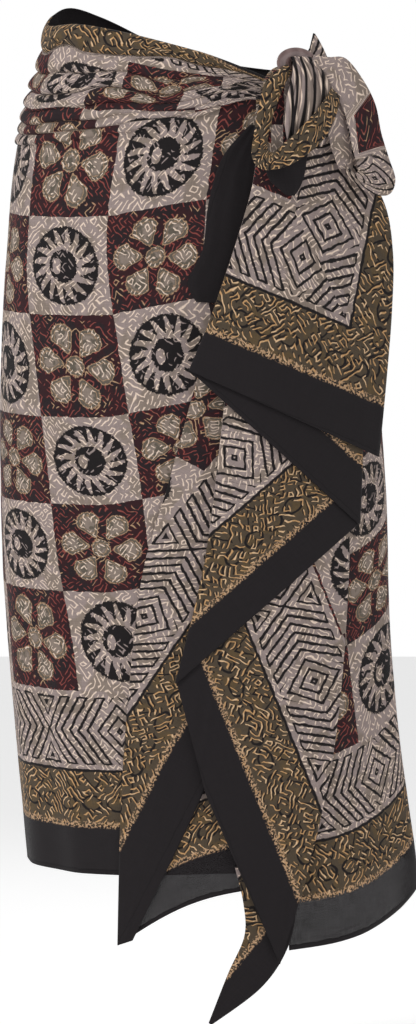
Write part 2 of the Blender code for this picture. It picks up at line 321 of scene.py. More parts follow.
@dataclass(frozen=True)
class Cloth:
    """The flat cloth before it is wrapped: one rectangle with a black hem band all round."""

    length: float = 1820.0
    width: float = 1100.0
    black_band: float = 48.0
    brown_end: float = 104.0
    geometric_end: float = 192.0
    cell: float = 102.4
    wall: float = 0.7


CLOTH = Cloth()


class Wiring:
    """Short calls that add nodes to one node tree and join them."""

    def __init__(self, tree: bpy.types.NodeTree) -> None:
        """Keeps the tree that nodes are added to."""
        self.tree = tree

    def node(self, kind: str, *values: object, **settings: object) -> bpy.types.Node:
        """Adds one node.

        Args:
            kind: The node's type.
            values: What goes into its first inputs: sockets or numbers; None leaves one alone.
            settings: Its properties.

        Returns:
            The node.
        """
        made = self.tree.nodes.new(kind)
        for name, value in settings.items():
            setattr(made, name, value)
        for place, value in enumerate(values):
            if value is not None:
                self.feed(made.inputs[place], value)
        return made

    def feed(self, socket: bpy.types.NodeSocket, value: object) -> None:
        """Joins a socket to an input, or sets the input to a value.

        Args:
            socket: The input.
            value: The socket or value.
        """
        if isinstance(value, bpy.types.NodeSocket):
            self.tree.links.new(value, socket)
        else:
            socket.default_value = value

    def math(self, operation: str, *values: object) -> bpy.types.NodeSocket:
        """The result of a Math node."""
        return self.node("ShaderNodeMath", *values, operation=operation).outputs[0]

    def add(self, a: object, b: object) -> bpy.types.NodeSocket:
        """a + b."""
        return self.math("ADD", a, b)

    def sub(self, a: object, b: object) -> bpy.types.NodeSocket:
        """a - b."""
        return self.math("SUBTRACT", a, b)

    def mul(self, a: object, b: object) -> bpy.types.NodeSocket:
        """a times b."""
        return self.math("MULTIPLY", a, b)

    def absolute(self, a: object) -> bpy.types.NodeSocket:
        """a without its sign."""
        return self.math("ABSOLUTE", a)

    def low(self, a: object, b: object) -> bpy.types.NodeSocket:
        """The lesser of a and b."""
        return self.math("MINIMUM", a, b)

    def high(self, a: object, b: object) -> bpy.types.NodeSocket:
        """The greater of a and b."""
        return self.math("MAXIMUM", a, b)

    def distance(self, x: object, y: object) -> bpy.types.NodeSocket:
        """How far the place at x and y is from 0."""
        return self.math("POWER", self.add(self.mul(x, x), self.mul(y, y)), 0.5)

    def under(self, value: object, limit: object, soft: float = 0.0) -> bpy.types.NodeSocket:
        """Marks where a value is under a limit.

        Args:
            value: The value.
            limit: The limit.
            soft: How far the edge fades on each side of the limit.

        Returns:
            1 where it is.
        """
        if not soft:
            return self.math("LESS_THAN", value, limit)
        above = self.sub(value, limit)
        made = self.node("ShaderNodeMapRange", above, -soft, soft, 1.0, 0.0)
        return made.outputs[0]

    def both(self, *masks: object) -> bpy.types.NodeSocket:
        """Marks where several masks meet.

        Args:
            masks: The masks.

        Returns:
            1 where all of them are 1.
        """
        found = masks[0]
        for mask in masks[1:]:
            found = self.mul(found, mask)
        return found

    def without(self, mask: object) -> bpy.types.NodeSocket:
        """The mask turned round."""
        return self.sub(1.0, mask)

    def between(self, value: object, start: float, end: float) -> bpy.types.NodeSocket:
        """1 where value is from start to end."""
        middle, half = (start + end) / 2, (end - start) / 2
        return self.under(self.absolute(self.sub(value, middle)), half)

    def line(self, value: object, at: float, half_width: float, soft: float) -> bpy.types.NodeSocket:
        """1 on the line where value is at."""
        return self.under(self.absolute(self.sub(value, at)), half_width, soft)

    def repeat(self, value: object, period: float) -> bpy.types.NodeSocket:
        """Value's distance from the middle of its period, with its sign."""
        share = self.math("FRACT", self.math("DIVIDE", value, period))
        return self.mul(self.sub(share, 0.5), period)

    def split(self, vector: object) -> tuple[bpy.types.NodeSocket, bpy.types.NodeSocket]:
        """The x and y of a vector."""
        made = self.node("ShaderNodeSeparateXYZ", vector)
        return made.outputs[0], made.outputs[1]

    def join(self, x: object, y: object, z: object = 0.0) -> bpy.types.NodeSocket:
        """A vector from x, y and z."""
        return self.node("ShaderNodeCombineXYZ", x, y, z).outputs[0]

    def paint_over(self, mask: object, below: object, above: object) -> bpy.types.NodeSocket:
        """Lays one colour over another.

        Args:
            mask: 1 where the upper colour shows.
            below: The lower colour.
            above: The upper colour.

        Returns:
            The colour that shows.
        """
        made = self.node("ShaderNodeMix", data_type="RGBA")
        self.feed(made.inputs[0], mask)
        self.feed(made.inputs[6], below)
        self.feed(made.inputs[7], above)
        return made.outputs[2]

    def rough(self, vector: object, scale: float, detail: float = 2.0) -> bpy.types.NodeSocket:
        """Adds noise.

        Args:
            vector: The place.
            scale: How fine the noise is.
            detail: How many finer layers it has.

        Returns:
            Values from 0 to 1.
        """
        made = self.node("ShaderNodeTexNoise", vector, noise_dimensions="2D")
        made.inputs["Scale"].default_value = scale
        made.inputs["Detail"].default_value = detail
        return made.outputs[0]

    def shift(self, vector: object, x: float, y: float) -> bpy.types.NodeSocket:
        """The vector moved by x and y."""
        made = self.node("ShaderNodeVectorMath", vector, operation="ADD")
        made.inputs[1].default_value = (x, y, 0.0)
        return made.outputs[0]

    def grow(self, vector: object, factor: object) -> bpy.types.NodeSocket:
        """The vector times a number."""
        made = self.node("ShaderNodeVectorMath", vector, operation="SCALE")
        self.feed(made.inputs["Scale"], factor)
        return made.outputs[0]

    def stir(self, vector: object, scale: float, reach: float) -> bpy.types.NodeSocket:
        """The vector moved about by noise.

        Args:
            vector: The place.
            scale: How fine the noise is.
            reach: How far it moves the place.

        Returns:
            The moved place.
        """
        swirls = self.node("ShaderNodeTexNoise", vector, noise_dimensions="2D")
        swirls.inputs["Scale"].default_value = scale
        swirls.inputs["Detail"].default_value = 0.0
        centred = self.shift(swirls.outputs["Color"], -0.5, -0.5)
        moved = self.node("ShaderNodeVectorMath", vector, self.grow(centred, reach), operation="ADD")
        return moved.outputs[0]


class Group:
    """A shader node group under construction."""

    def __init__(self, name: str, inputs: dict[str, str], outputs: dict[str, str]) -> None:
        """Makes the group with named sockets.

        Args:
            name: The group's name.
            inputs: Socket names and types.
            outputs: Socket names and types.
        """
        self.tree = bpy.data.node_groups.new(name, "ShaderNodeTree")
        for word, kind in inputs.items():
            self.tree.interface.new_socket(word, in_out="INPUT", socket_type=kind)
        for word, kind in outputs.items():
            self.tree.interface.new_socket(word, in_out="OUTPUT", socket_type=kind)
        self.start = self.tree.nodes.new("NodeGroupInput").outputs
        self.end = self.tree.nodes.new("NodeGroupOutput").inputs
        self.wiring = Wiring(self.tree)

    def put_out(self, word: str, value: object) -> None:
        """Joins a result to an output."""
        self.wiring.feed(self.end[word], value)


@dataclass(frozen=True)
class Strokes:
    """The wax strokes that cover the whole print: chains of short pieces that turn at square corners.

    The cloth is a lattice of cells. Each cell has two parallel strokes that join the middles of its
    sides, leaning one way or the other by chance, and each stroke is there or not by chance.
    """

    soft: float = 0.06
    sway_scale: float = 0.12
    sway: float = 2.2
    shake_scale: float = 0.8
    shake: float = 0.55

    def build(self) -> bpy.types.NodeTree:
        """Makes the node group.

        Returns:
            A group that turns a place on the cloth, in millimetres, into a mask of strokes.
        """
        made = Group(
            "wax_strokes",
            {
                "Place": "NodeSocketVector",
                "Spacing": "NodeSocketFloat",
                "Thickness": "NodeSocketFloat",
                "Cover": "NodeSocketFloat",
            },
            {"Mask": "NodeSocketFloat"},
        )
        w = made.wiring
        place, spacing, thick, cover = (made.start[i] for i in range(4))
        scale = w.math("DIVIDE", 1.0, spacing)
        at = w.stir(w.grow(place, scale), self.sway_scale, self.sway)
        at = w.stir(at, self.shake_scale, self.shake)
        x, y = w.split(at)
        cell = w.join(w.math("FLOOR", x), w.math("FLOOR", y))
        chances = w.node("ShaderNodeTexWhiteNoise", noise_dimensions="2D")
        w.feed(chances.inputs["Vector"], cell)
        chance = w.node("ShaderNodeSeparateColor", chances.outputs["Color"]).outputs
        lean = w.sub(w.mul(w.under(chance[0], 0.5), 2.0), 1.0)
        across = w.add(w.sub(w.math("FRACT", x), 0.5), w.mul(w.sub(w.math("FRACT", y), 0.5), lean))
        side = w.math("GREATER_THAN", across, 0.0)
        drawn = w.add(w.mul(chance[1], side), w.mul(chance[2], w.without(side)))
        half = w.mul(w.mul(thick, scale), math.sqrt(0.5))
        stroke = w.under(w.absolute(w.sub(w.absolute(across), 0.5)), half, self.soft)
        made.put_out("Mask", w.both(stroke, w.under(drawn, cover)))
        return made.tree


@dataclass(frozen=True)
class Weave:
    """Fine plain weave of the cotton, with slubs."""

    thread: float = 0.55

    def build(self) -> bpy.types.NodeTree:
        """Makes the node group.

        Returns:
            A group that turns a place on the cloth, in millimetres, into a height and a shade.
        """
        made = Group(
            "cotton_weave",
            {"Place": "NodeSocketVector"},
            {"Height": "NodeSocketFloat", "Shade": "NodeSocketFloat"},
        )
        w = made.wiring
        place = made.start[0]
        x, y = w.split(place)
        warp = w.math("SINE", w.mul(x, 2 * math.pi / self.thread))
        weft = w.math("SINE", w.mul(y, 2 * math.pi / self.thread))
        slub = w.rough(w.join(w.mul(x, 0.9), w.mul(y, 0.06)), 1.0, 3.0)
        pick = w.rough(w.join(w.mul(x, 0.05), w.mul(y, 0.8)), 1.0, 3.0)
        threads = w.mul(w.mul(warp, weft), 0.25)
        made.put_out("Height", w.add(threads, w.mul(w.add(slub, pick), 0.5)))
        made.put_out("Shade", w.mul(w.add(slub, pick), 0.5))
        return made.tree


@dataclass(frozen=True)
class Wax:
    """One layer of wax strokes. Sizes are in millimetres, and cover is the share of strokes kept."""

    spacing: float
    thickness: float
    cover: float
    moved: tuple[float, float] = (0.0, 0.0)


@dataclass(frozen=True)
class Spot:
    """A place on the flat cloth, in millimetres, inside the print's node group.

    flat is the exact place, and hand the same place as an unsteady hand finds it. edge is how far
    the nearest edge of the cloth is, and along the place beside it. inked is 0 where no ink is drawn.
    """

    w: Wiring
    flat: object
    hand: object
    edge: object
    along: object
    inked: object
    strokes: bpy.types.NodeTree

    def waxed(self, wax: Wax) -> bpy.types.NodeSocket:
        """The mask of one layer of wax strokes."""
        place = self.w.shift(self.hand, *wax.moved)
        sizes = (wax.spacing, wax.thickness, wax.cover)
        return self.w.node("ShaderNodeGroup", place, *sizes, node_tree=self.strokes).outputs[0]

    def patches(
        self, moved: tuple[float, float], scale: float, limit: float, soft: float
    ) -> bpy.types.NodeSocket:
        """A mask of uneven patches.

        Args:
            moved: How far the pattern is moved, in millimetres.
            scale: How fine it is.
            limit: The value of the noise under which a patch lies.
            soft: Half the width of a patch's edge, as values of the noise.

        Returns:
            1 in the patches.
        """
        return self.w.under(self.w.rough(self.w.shift(self.flat, *moved), scale), limit, soft)


@dataclass(frozen=True)
class BatikPrint:
    """The cloth's print: bands of black, brown and grey round a field of checks."""

    grey: tuple = paint(148, 133, 129)
    grey_olive: tuple = paint(134, 120, 110)
    cream: tuple = paint(228, 206, 188)
    maroon: tuple = paint(50, 25, 29)
    maroon_dark: tuple = paint(38, 28, 31)
    salmon: tuple = paint(138, 70, 64)
    petal: tuple = paint(94, 86, 76)
    tan: tuple = paint(180, 146, 114)
    brown: tuple = paint(78, 67, 54)
    brown_dark: tuple = paint(38, 31, 27)
    rust: tuple = paint(90, 74, 52)
    orange: tuple = paint(192, 150, 104)
    sand: tuple = paint(218, 182, 142)
    ink: tuple = paint(26, 22, 23)
    black: tuple = paint(31, 27, 29)
    grey_wax: Wax = Wax(6.2, 1.1, 0.7)
    chip_wax: Wax = Wax(6.2, 1.25, 0.34, (70.0, 30.0))
    maroon_wax: Wax = Wax(6.2, 0.95, 0.66, (400.0, 250.0))
    petal_wax: Wax = Wax(5.6, 0.95, 0.6)
    band_wax: Wax = Wax(6.2, 1.15, 0.68)
    shadow_wax: Wax = Wax(6.4, 1.6, 0.62, (151.3, 89.0))
    brown_wax: Wax = Wax(6.4, 1.1, 0.62, (150.0, 90.0))
    line_half: float = 1.6
    soft: float = 0.35
    # How far the hand wavers, how ragged the black band's edge is, and where the hem's stitches are
    waver: float = 2.6
    raggedness: float = 9.0
    stitch_at: float = 4.5
    # How far along the hem the grey band's pattern is set back
    hem_offset: float = 45.0
    # Half the grey band's pattern along the band, and the spacing of its bars and nested squares
    half_unit: float = 84.0
    bar_spacing: float = 9.6
    square_spacing: float = 11.0
    # How many rays a sun wheel has, and how far they curve
    rays: int = 16
    ray_curve: float = 4.5

    def build(self, strokes: bpy.types.NodeTree, weave: bpy.types.NodeTree) -> bpy.types.NodeTree:
        """Makes the node group of the whole print.

        Args:
            strokes: The group of wax strokes.
            weave: The group of the weave.

        Returns:
            A group that turns a place on the flat cloth, in metres, into the print's colour,
            the mask of the black band and the weave's height. Plain is 1 where no ink is drawn.
        """
        made = Group(
            "batik_print",
            {"Place": "NodeSocketVector", "Plain": "NodeSocketFloat"},
            {
                "Colour": "NodeSocketColor",
                "Band": "NodeSocketFloat",
                "Height": "NodeSocketFloat",
            },
        )
        w = made.wiring
        flat = w.grow(made.start[0], 1000.0)
        x, y = w.split(flat)
        x = w.add(x, w.mul(w.sub(w.rough(flat, 0.11), 0.5), self.waver))
        y = w.add(y, w.mul(w.sub(w.rough(w.shift(flat, 91, 37), 0.11), 0.5), self.waver))
        from_side = w.low(x, w.sub(CLOTH.length, x))
        from_hem = w.low(y, w.sub(CLOTH.width, y))
        edge = w.low(from_side, from_hem)
        sideways = w.under(from_side, from_hem)
        along = w.add(w.mul(y, sideways), w.mul(w.add(x, self.hem_offset), w.without(sideways)))
        spot = Spot(w, flat, w.join(x, y), edge, along, w.without(made.start[1]), strokes)

        ragged = w.add(CLOTH.black_band, w.mul(w.sub(w.rough(flat, 0.16, 3.0), 0.5), self.raggedness))
        in_grey = w.under(edge, CLOTH.geometric_end)
        colour = w.paint_over(in_grey, self.checks(spot), self.grey_band(spot))
        colour = w.paint_over(w.under(edge, CLOTH.brown_end), colour, self.brown_band(spot))
        colour = w.paint_over(w.line(edge, CLOTH.brown_end, 1.5, 0.4), colour, self.ink)
        crumbs = w.both(
            w.line(edge, CLOTH.black_band + 1.5, 3.0, 1.0),
            w.under(w.rough(w.shift(flat, 5, 9), 0.42, 1.0), 0.47, 0.02),
        )
        colour = w.paint_over(w.under(edge, ragged), colour, self.black)
        colour = w.paint_over(crumbs, colour, self.tan)
        stitch = w.line(edge, self.stitch_at, 0.5, 0.4)
        woven = w.node("ShaderNodeGroup", flat, node_tree=weave)
        shading = w.node("ShaderNodeMapRange", woven.outputs["Shade"], 0.3, 0.7, 0.84, 1.12).outputs[0]
        shading = w.mul(shading, w.sub(1.0, w.mul(stitch, 0.35)))
        toned = w.node("ShaderNodeMix", data_type="RGBA", blend_type="MULTIPLY")
        toned.inputs[0].default_value = 1.0
        w.feed(toned.inputs[6], colour)
        w.feed(toned.inputs[7], w.node("ShaderNodeCombineColor", shading, shading, shading).outputs[0])
        made.put_out("Colour", toned.outputs[2])
        long_hem = w.both(w.under(from_hem, ragged), w.math("GREATER_THAN", from_side, CLOTH.black_band))
        made.put_out("Band", w.both(long_hem, w.without(crumbs), w.math("GREATER_THAN", edge, 5.0)))
        made.put_out("Height", w.sub(woven.outputs["Height"], stitch))
        return made.tree

    def checks(self, spot: Spot) -> bpy.types.NodeSocket:
        """Draws the field of squares: sun wheels on grey and flowers on maroon, in turn.

        Args:
            spot: The place.

        Returns:
            The colour.
        """
        w = spot.w
        x, y = w.split(spot.hand)
        start = CLOTH.geometric_end
        across = w.math("DIVIDE", w.sub(x, start), CLOTH.cell)
        up = w.math("DIVIDE", w.sub(y, start), CLOTH.cell)
        cell = w.add(w.math("FLOOR", across), w.math("FLOOR", up))
        odd = w.math("GREATER_THAN", w.math("FLOORED_MODULO", cell, 2.0), 0.5)
        in_x = w.sub(w.math("FRACT", across), 0.5)
        in_y = w.sub(w.math("FRACT", up), 0.5)
        ragged = w.mul(w.sub(w.rough(spot.flat, 0.4), 0.5), 0.045)
        radius = w.add(w.distance(in_x, in_y), ragged)
        turn = w.math("ARCTAN2", in_y, in_x)

        grey = w.paint_over(spot.patches((19, 47), 0.035, 0.47, 0.06), self.grey, self.grey_olive)
        grey = w.paint_over(spot.waxed(self.grey_wax), grey, self.cream)
        wheel = w.both(self.sun_wheel(w, radius, turn, in_x, in_y), spot.inked)
        grey = w.paint_over(wheel, grey, self.ink)
        chips = w.both(spot.waxed(self.chip_wax), w.under(radius, 0.36), spot.inked)
        grey = w.paint_over(chips, grey, self.grey)

        maroon = w.paint_over(spot.patches((83, 11), 0.05, 0.5, 0.04), self.maroon, self.maroon_dark)
        warm = w.paint_over(spot.patches((0, 0), 0.05, 0.4, 0.03), self.salmon, self.tan)
        maroon = w.paint_over(spot.waxed(self.maroon_wax), maroon, warm)
        maroon = w.paint_over(spot.inked, maroon, self.flower(spot, maroon, radius, turn))
        return w.paint_over(odd, grey, maroon)

    def sun_wheel(
        self, w: Wiring, radius: object, turn: object, in_x: object, in_y: object
    ) -> bpy.types.NodeSocket:
        """Draws a ring of curved rays round a dark disc.

        Args:
            w: The group's wiring.
            radius: Distance from the middle of the square, as a share of its side.
            turn: Angle round the middle.
            in_x: Place across from the middle, as a share of its side.
            in_y: Place up from the middle, as a share of its side.

        Returns:
            A mask of ink.
        """
        rim = w.line(radius, 0.388, 0.014, 0.004)
        swirl = w.add(w.mul(turn, self.rays / (2 * math.pi)), w.mul(radius, self.ray_curve))
        saw = w.math("FRACT", swirl)
        filled = w.node("ShaderNodeMapRange", radius, 0.22, 0.37, 0.22, 0.78).outputs[0]
        rays = w.both(w.under(saw, filled, 0.03), w.between(radius, 0.215, 0.39))
        eye = w.distance(w.sub(in_x, 0.075), w.mul(w.add(in_y, 0.005), math.sqrt(0.4)))
        disc = w.both(w.under(radius, 0.168), w.without(w.between(eye, 0.0, 0.05)))
        return w.high(w.high(rim, rays), disc)

    def flower(self, spot: Spot, ground: object, radius: object, turn: object) -> bpy.types.NodeSocket:
        """Draws six drop-shaped petals round a disc, each outlined in tan.

        Args:
            spot: The place.
            ground: The colour below.
            radius: Distance from the middle of the square, as a share of its side.
            turn: Angle round the middle.

        Returns:
            The colour.
        """
        w = spot.w
        sixth = math.pi / 3
        share = w.math("FRACT", w.math("DIVIDE", w.add(turn, 0.35), sixth))
        bent = w.mul(w.sub(share, 0.5), sixth)
        out = w.sub(w.mul(radius, w.math("COSINE", bent)), 0.302)
        side = w.mul(radius, w.math("SINE", bent))
        narrow = w.node("ShaderNodeMapRange", out, -0.16, 0.0, 2.2, 1.0).outputs[0]
        side = w.mul(side, narrow)
        stretched = w.mul(out, w.node("ShaderNodeMapRange", out, -0.02, 0.02, 0.78, 1.0).outputs[0])
        shape = w.low(w.distance(stretched, side), w.add(radius, 0.03))
        colour = w.paint_over(w.under(shape, 0.13), ground, self.petal)
        light = w.both(w.under(shape, 0.08, 0.02), w.under(w.rough(spot.hand, 0.09), 0.55, 0.05))
        colour = w.paint_over(light, colour, self.grey_olive)
        inner = w.both(spot.waxed(self.petal_wax), w.under(shape, 0.124))
        colour = w.paint_over(inner, colour, self.cream)
        outline = w.high(w.line(shape, 0.13, 0.004, 0.004), w.line(shape, 0.092, 0.002, 0.005))
        return w.paint_over(outline, colour, self.tan)

    def grey_band(self, spot: Spot) -> bpy.types.NodeSocket:
        """Draws nested chevrons, crosses, diamonds and triangles in ink on grey.

        Args:
            spot: The place.

        Returns:
            The colour.
        """
        w = spot.w
        height = w.absolute(w.sub(spot.edge, (CLOTH.brown_end + CLOTH.geometric_end) / 2))
        away = w.absolute(w.repeat(spot.along, self.half_unit * 2))
        fan = w.sub(away, w.mul(height, 0.62))
        diamond = w.add(w.sub(self.half_unit, away), w.mul(height, 0.85))
        bars = w.absolute(w.repeat(w.add(fan, 4.6), self.bar_spacing))
        squares = w.absolute(w.repeat(w.add(diamond, 3.0), self.square_spacing))
        thick = w.mul(w.add(0.55, w.rough(spot.flat, 0.2)), self.line_half)
        inside = w.under(height, 37.0)
        outer = w.math("GREATER_THAN", fan, -1.4)
        near_diamond = w.under(diamond, 34.0)
        chevrons = w.both(w.under(bars, thick, self.soft), outer, w.without(near_diamond))
        diamonds = w.both(w.under(squares, thick, self.soft), near_diamond)
        caps = w.both(
            w.line(height, 36.6, 1.0, 0.3),
            w.under(w.absolute(w.repeat(w.add(fan, 4.6), self.bar_spacing * 2)), self.bar_spacing / 2),
            w.without(near_diamond),
        )
        nested = w.both(w.line(fan, -9.5, 1.1, 0.3), w.math("GREATER_THAN", height, 14.0))
        tip = w.both(w.under(fan, -15.5), w.between(height, 25.0, 32.0))
        lid = w.both(w.line(height, 35.5, 1.0, 0.3), w.under(fan, -9.5))
        ink = w.both(w.high(w.high(chevrons, diamonds), w.high(nested, tip)), inside)
        ink = w.high(ink, w.high(caps, lid))
        ground = w.paint_over(spot.patches((3, 61), 0.04, 0.45, 0.06), self.grey, self.grey_olive)
        ground = w.paint_over(spot.waxed(self.band_wax), ground, self.cream)
        return w.paint_over(w.both(ink, spot.inked), ground, self.ink)

    def brown_band(self, spot: Spot) -> bpy.types.NodeSocket:
        """Draws dark triangles and ovals on brown, with orange strokes and their dark edges over them.

        Args:
            spot: The place.

        Returns:
            The colour.
        """
        w = spot.w
        ground = w.paint_over(spot.patches((23, 7), 0.06, 0.4, 0.06), self.brown, self.rust)
        tooth = w.absolute(w.repeat(spot.along, 24.0))
        drop = w.sub(CLOTH.brown_end - 2, spot.edge)
        slope = w.add(drop, w.mul(tooth, 1.5))
        teeth = w.both(w.line(slope, 18.0, 1.5, 0.4), w.math("GREATER_THAN", drop, 1.0))
        oval_x = w.mul(w.repeat(w.add(spot.along, 9.0), 27.0), 0.72)
        ovals = w.line(w.distance(oval_x, w.sub(spot.edge, 71.0)), 7.2, 1.1, 0.3)
        ground = w.paint_over(w.high(teeth, ovals), ground, self.ink)
        lit = w.paint_over(spot.patches((0, 0), 0.08, 0.45, 0.04), self.orange, self.sand)
        ground = w.paint_over(spot.waxed(self.shadow_wax), ground, self.brown_dark)
        return w.paint_over(spot.waxed(self.brown_wax), ground, lit)


@dataclass(frozen=True)
class CottonFinish:
    """The printed cotton as a material."""

    name: str
    sheerness: float = 0.0
    roughness: float = 0.86
    # How much smoother the black band is
    band_gloss: float = 0.12

    def build(self, print_group: bpy.types.NodeTree) -> bpy.types.Material:
        """Makes the material.

        Args:
            print_group: The group of the whole print.

        Returns:
            The material.
        """
        material = bpy.data.materials.new(self.name)
        material.use_nodes = True
        w = Wiring(material.node_tree)
        shader = material.node_tree.nodes["Principled BSDF"]
        place = w.node("ShaderNodeUVMap", uv_map="flat_cloth").outputs[0]
        plain = w.node("ShaderNodeAttribute", attribute_name="plain").outputs["Fac"]
        printed = w.node("ShaderNodeGroup", place, plain, node_tree=print_group)
        w.feed(shader.inputs["Base Color"], printed.outputs["Colour"])
        bump = w.node("ShaderNodeBump")
        bump.inputs["Strength"].default_value = 0.35
        bump.inputs["Distance"].default_value = 0.0006
        w.feed(bump.inputs["Height"], printed.outputs["Height"])
        w.feed(shader.inputs["Normal"], bump.outputs[0])
        smoother = w.mul(printed.outputs["Band"], self.band_gloss)
        w.feed(shader.inputs["Roughness"], w.sub(self.roughness, smoother))
        if self.sheerness:
            share = w.node("ShaderNodeAttribute", attribute_name="sheer").outputs["Fac"]
            threads = w.node("ShaderNodeMapRange", printed.outputs["Height"], 0.3, 0.7, 0.6, 1.4)
            open_weave = w.mul(w.mul(printed.outputs["Band"], threads.outputs[0]), self.sheerness)
            w.feed(shader.inputs["Alpha"], w.sub(1.0, w.mul(open_weave, share)))
        shader.inputs["Sheen Weight"].default_value = 0.05
        shader.inputs["Sheen Roughness"].default_value = 0.4
        shader.inputs["Specular IOR Level"].default_value = 0.22
        return material


@dataclass(frozen=True)
class ShellFinish:
    """Polished mauve-brown shell with soft growth bands."""

    dark: tuple = paint(84, 62, 60)
    light: tuple = paint(142, 118, 114)
    roughness: float = 0.18
    # How much of the colour comes from the growth bands; the rest comes from clouds
    band_share: float = 0.35
    cloud_roughness: float = 0.12

    def build(self) -> bpy.types.Material:
        """Makes the material.

        Returns:
            The material.
        """
        material = bpy.data.materials.new("polished_shell")
        material.use_nodes = True
        w = Wiring(material.node_tree)
        shader = material.node_tree.nodes["Principled BSDF"]
        place = w.node("ShaderNodeTexCoord").outputs["Object"]
        bands = w.node("ShaderNodeTexWave", place, wave_type="BANDS")
        bands.inputs["Scale"].default_value = 26.0
        bands.inputs["Distortion"].default_value = 9.0
        bands.inputs["Detail"].default_value = 3.0
        clouds = w.node("ShaderNodeTexNoise", place)
        clouds.inputs["Scale"].default_value = 70.0
        cloudy = w.mul(clouds.outputs[0], 1 - self.band_share)
        mixed = w.add(w.mul(bands.outputs["Fac"], self.band_share), cloudy)
        w.feed(shader.inputs["Base Color"], w.paint_over(mixed, self.dark, self.light))
        rough = w.add(self.roughness, w.mul(clouds.outputs[0], self.cloud_roughness))
        w.feed(shader.inputs["Roughness"], rough)
        shader.inputs["Coat Weight"].default_value = 0.5
        shader.inputs["Coat Roughness"].default_value = 0.1
        return material


def object_from(
    name: str, shell: bmesh.types.BMesh, flats: dict[int, tuple[float, float]] | None = None
) -> bpy.types.Object:
    """Turns a shell into a smooth object of the scene, and frees the shell.

    Args:
        name: The object's name.
        shell: The shell.
        flats: For each vertex, its place on the flat cloth in metres, for the flat_cloth map.

    Returns:
        The object.
    """
    if flats:
        layer = shell.loops.layers.uv.new("flat_cloth")
        for face in shell.faces:
            for loop in face.loops:
                loop[layer].uv = flats[loop.vert.index]
    mesh = bpy.data.meshes.new(name)
    shell.to_mesh(mesh)
    shell.free()
    mesh.shade_smooth()
    made = bpy.data.objects.new(name, mesh)
    bpy.context.scene.collection.objects.link(made)
    return made


def cloth_piece(
    name: str,
    columns: int,
    rows: int,
    place: Callable[[float, float], Placed],
    plain: Callable[[float], float] | None = None,
    sheer: Callable[[float], float] | None = None,
) -> bpy.types.Object:
    """Makes one stretch of cloth from a grid.

    Args:
        name: The piece's name.
        columns: Faces across.
        rows: Faces up.
        place: Turns shares across and up into a point and the flat cloth's x and y, in millimetres.
        plain: Turns the share up into 1 where the print has no ink and 0 where it has.
        sheer: Turns the share across into 1 where a sheer finish is wholly sheer and 0 where it isn't.

    Returns:
        The piece, with its thickness and its flat_cloth map in metres.
    """
    shell = bmesh.new()
    bmesh.ops.create_grid(shell, x_segments=columns, y_segments=rows, size=0.5)
    bare = shell.verts.layers.float.new("plain")
    thin = shell.verts.layers.float.new("sheer")
    flats = {}
    for corner in shell.verts:
        point, flat_x, flat_y = place(corner.co.x + 0.5, corner.co.y + 0.5)
        flats[corner.index] = (flat_x * MM, flat_y * MM)
        if plain:
            corner[bare] = plain(corner.co.y + 0.5)
        corner[thin] = sheer(corner.co.x + 0.5) if sheer else 1.0
        corner.co = point * MM
    made = object_from(name, shell, flats)
    wall = made.modifiers.new("wall", "SOLIDIFY")
    wall.thickness = CLOTH.wall * MM
    wall.offset = 0.0
    return made


def flat_area(piece: bpy.types.Object) -> float:
    """The area of one side of a piece, in square metres."""
    return sum(face.area for face in piece.data.polygons)


def stand_for(piece: bpy.types.Object, node: str, material: bpy.types.Material, slot: Slot) -> None:
    """Puts a piece in the place of a solid.

    Args:
        piece: The piece.
        node: The solid.
        material: The piece's finish.
        slot: The record's slot of that finish; not used.
    """
    piece.data.materials.append(material)
    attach(piece, "root")
    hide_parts(node)


def dress(
    piece: bpy.types.Object,
    material: bpy.types.Material,
    slot: Slot,
    node: str,
    held: Held,
    flat: tuple[float, float],
    rests_on: Sequence[str],
) -> None:
    """Gives a stretch of cloth its finish and its place on the frame, and logs its faces and area.

    Args:
        piece: The stretch.
        material: Its finish.
        slot: The record's slot of that finish.
        node: The solid that it stands for.
        held: How it is held; not used.
        flat: Width and length of its cut, in metres; not used.
        rests_on: What it hangs from or lies on.
    """
    stand_for(piece, node, material, slot)
    list(rests_on)
    LOG.info("%s: %d faces, %.3f square metres", piece.name, len(piece.data.polygons), flat_area(piece))


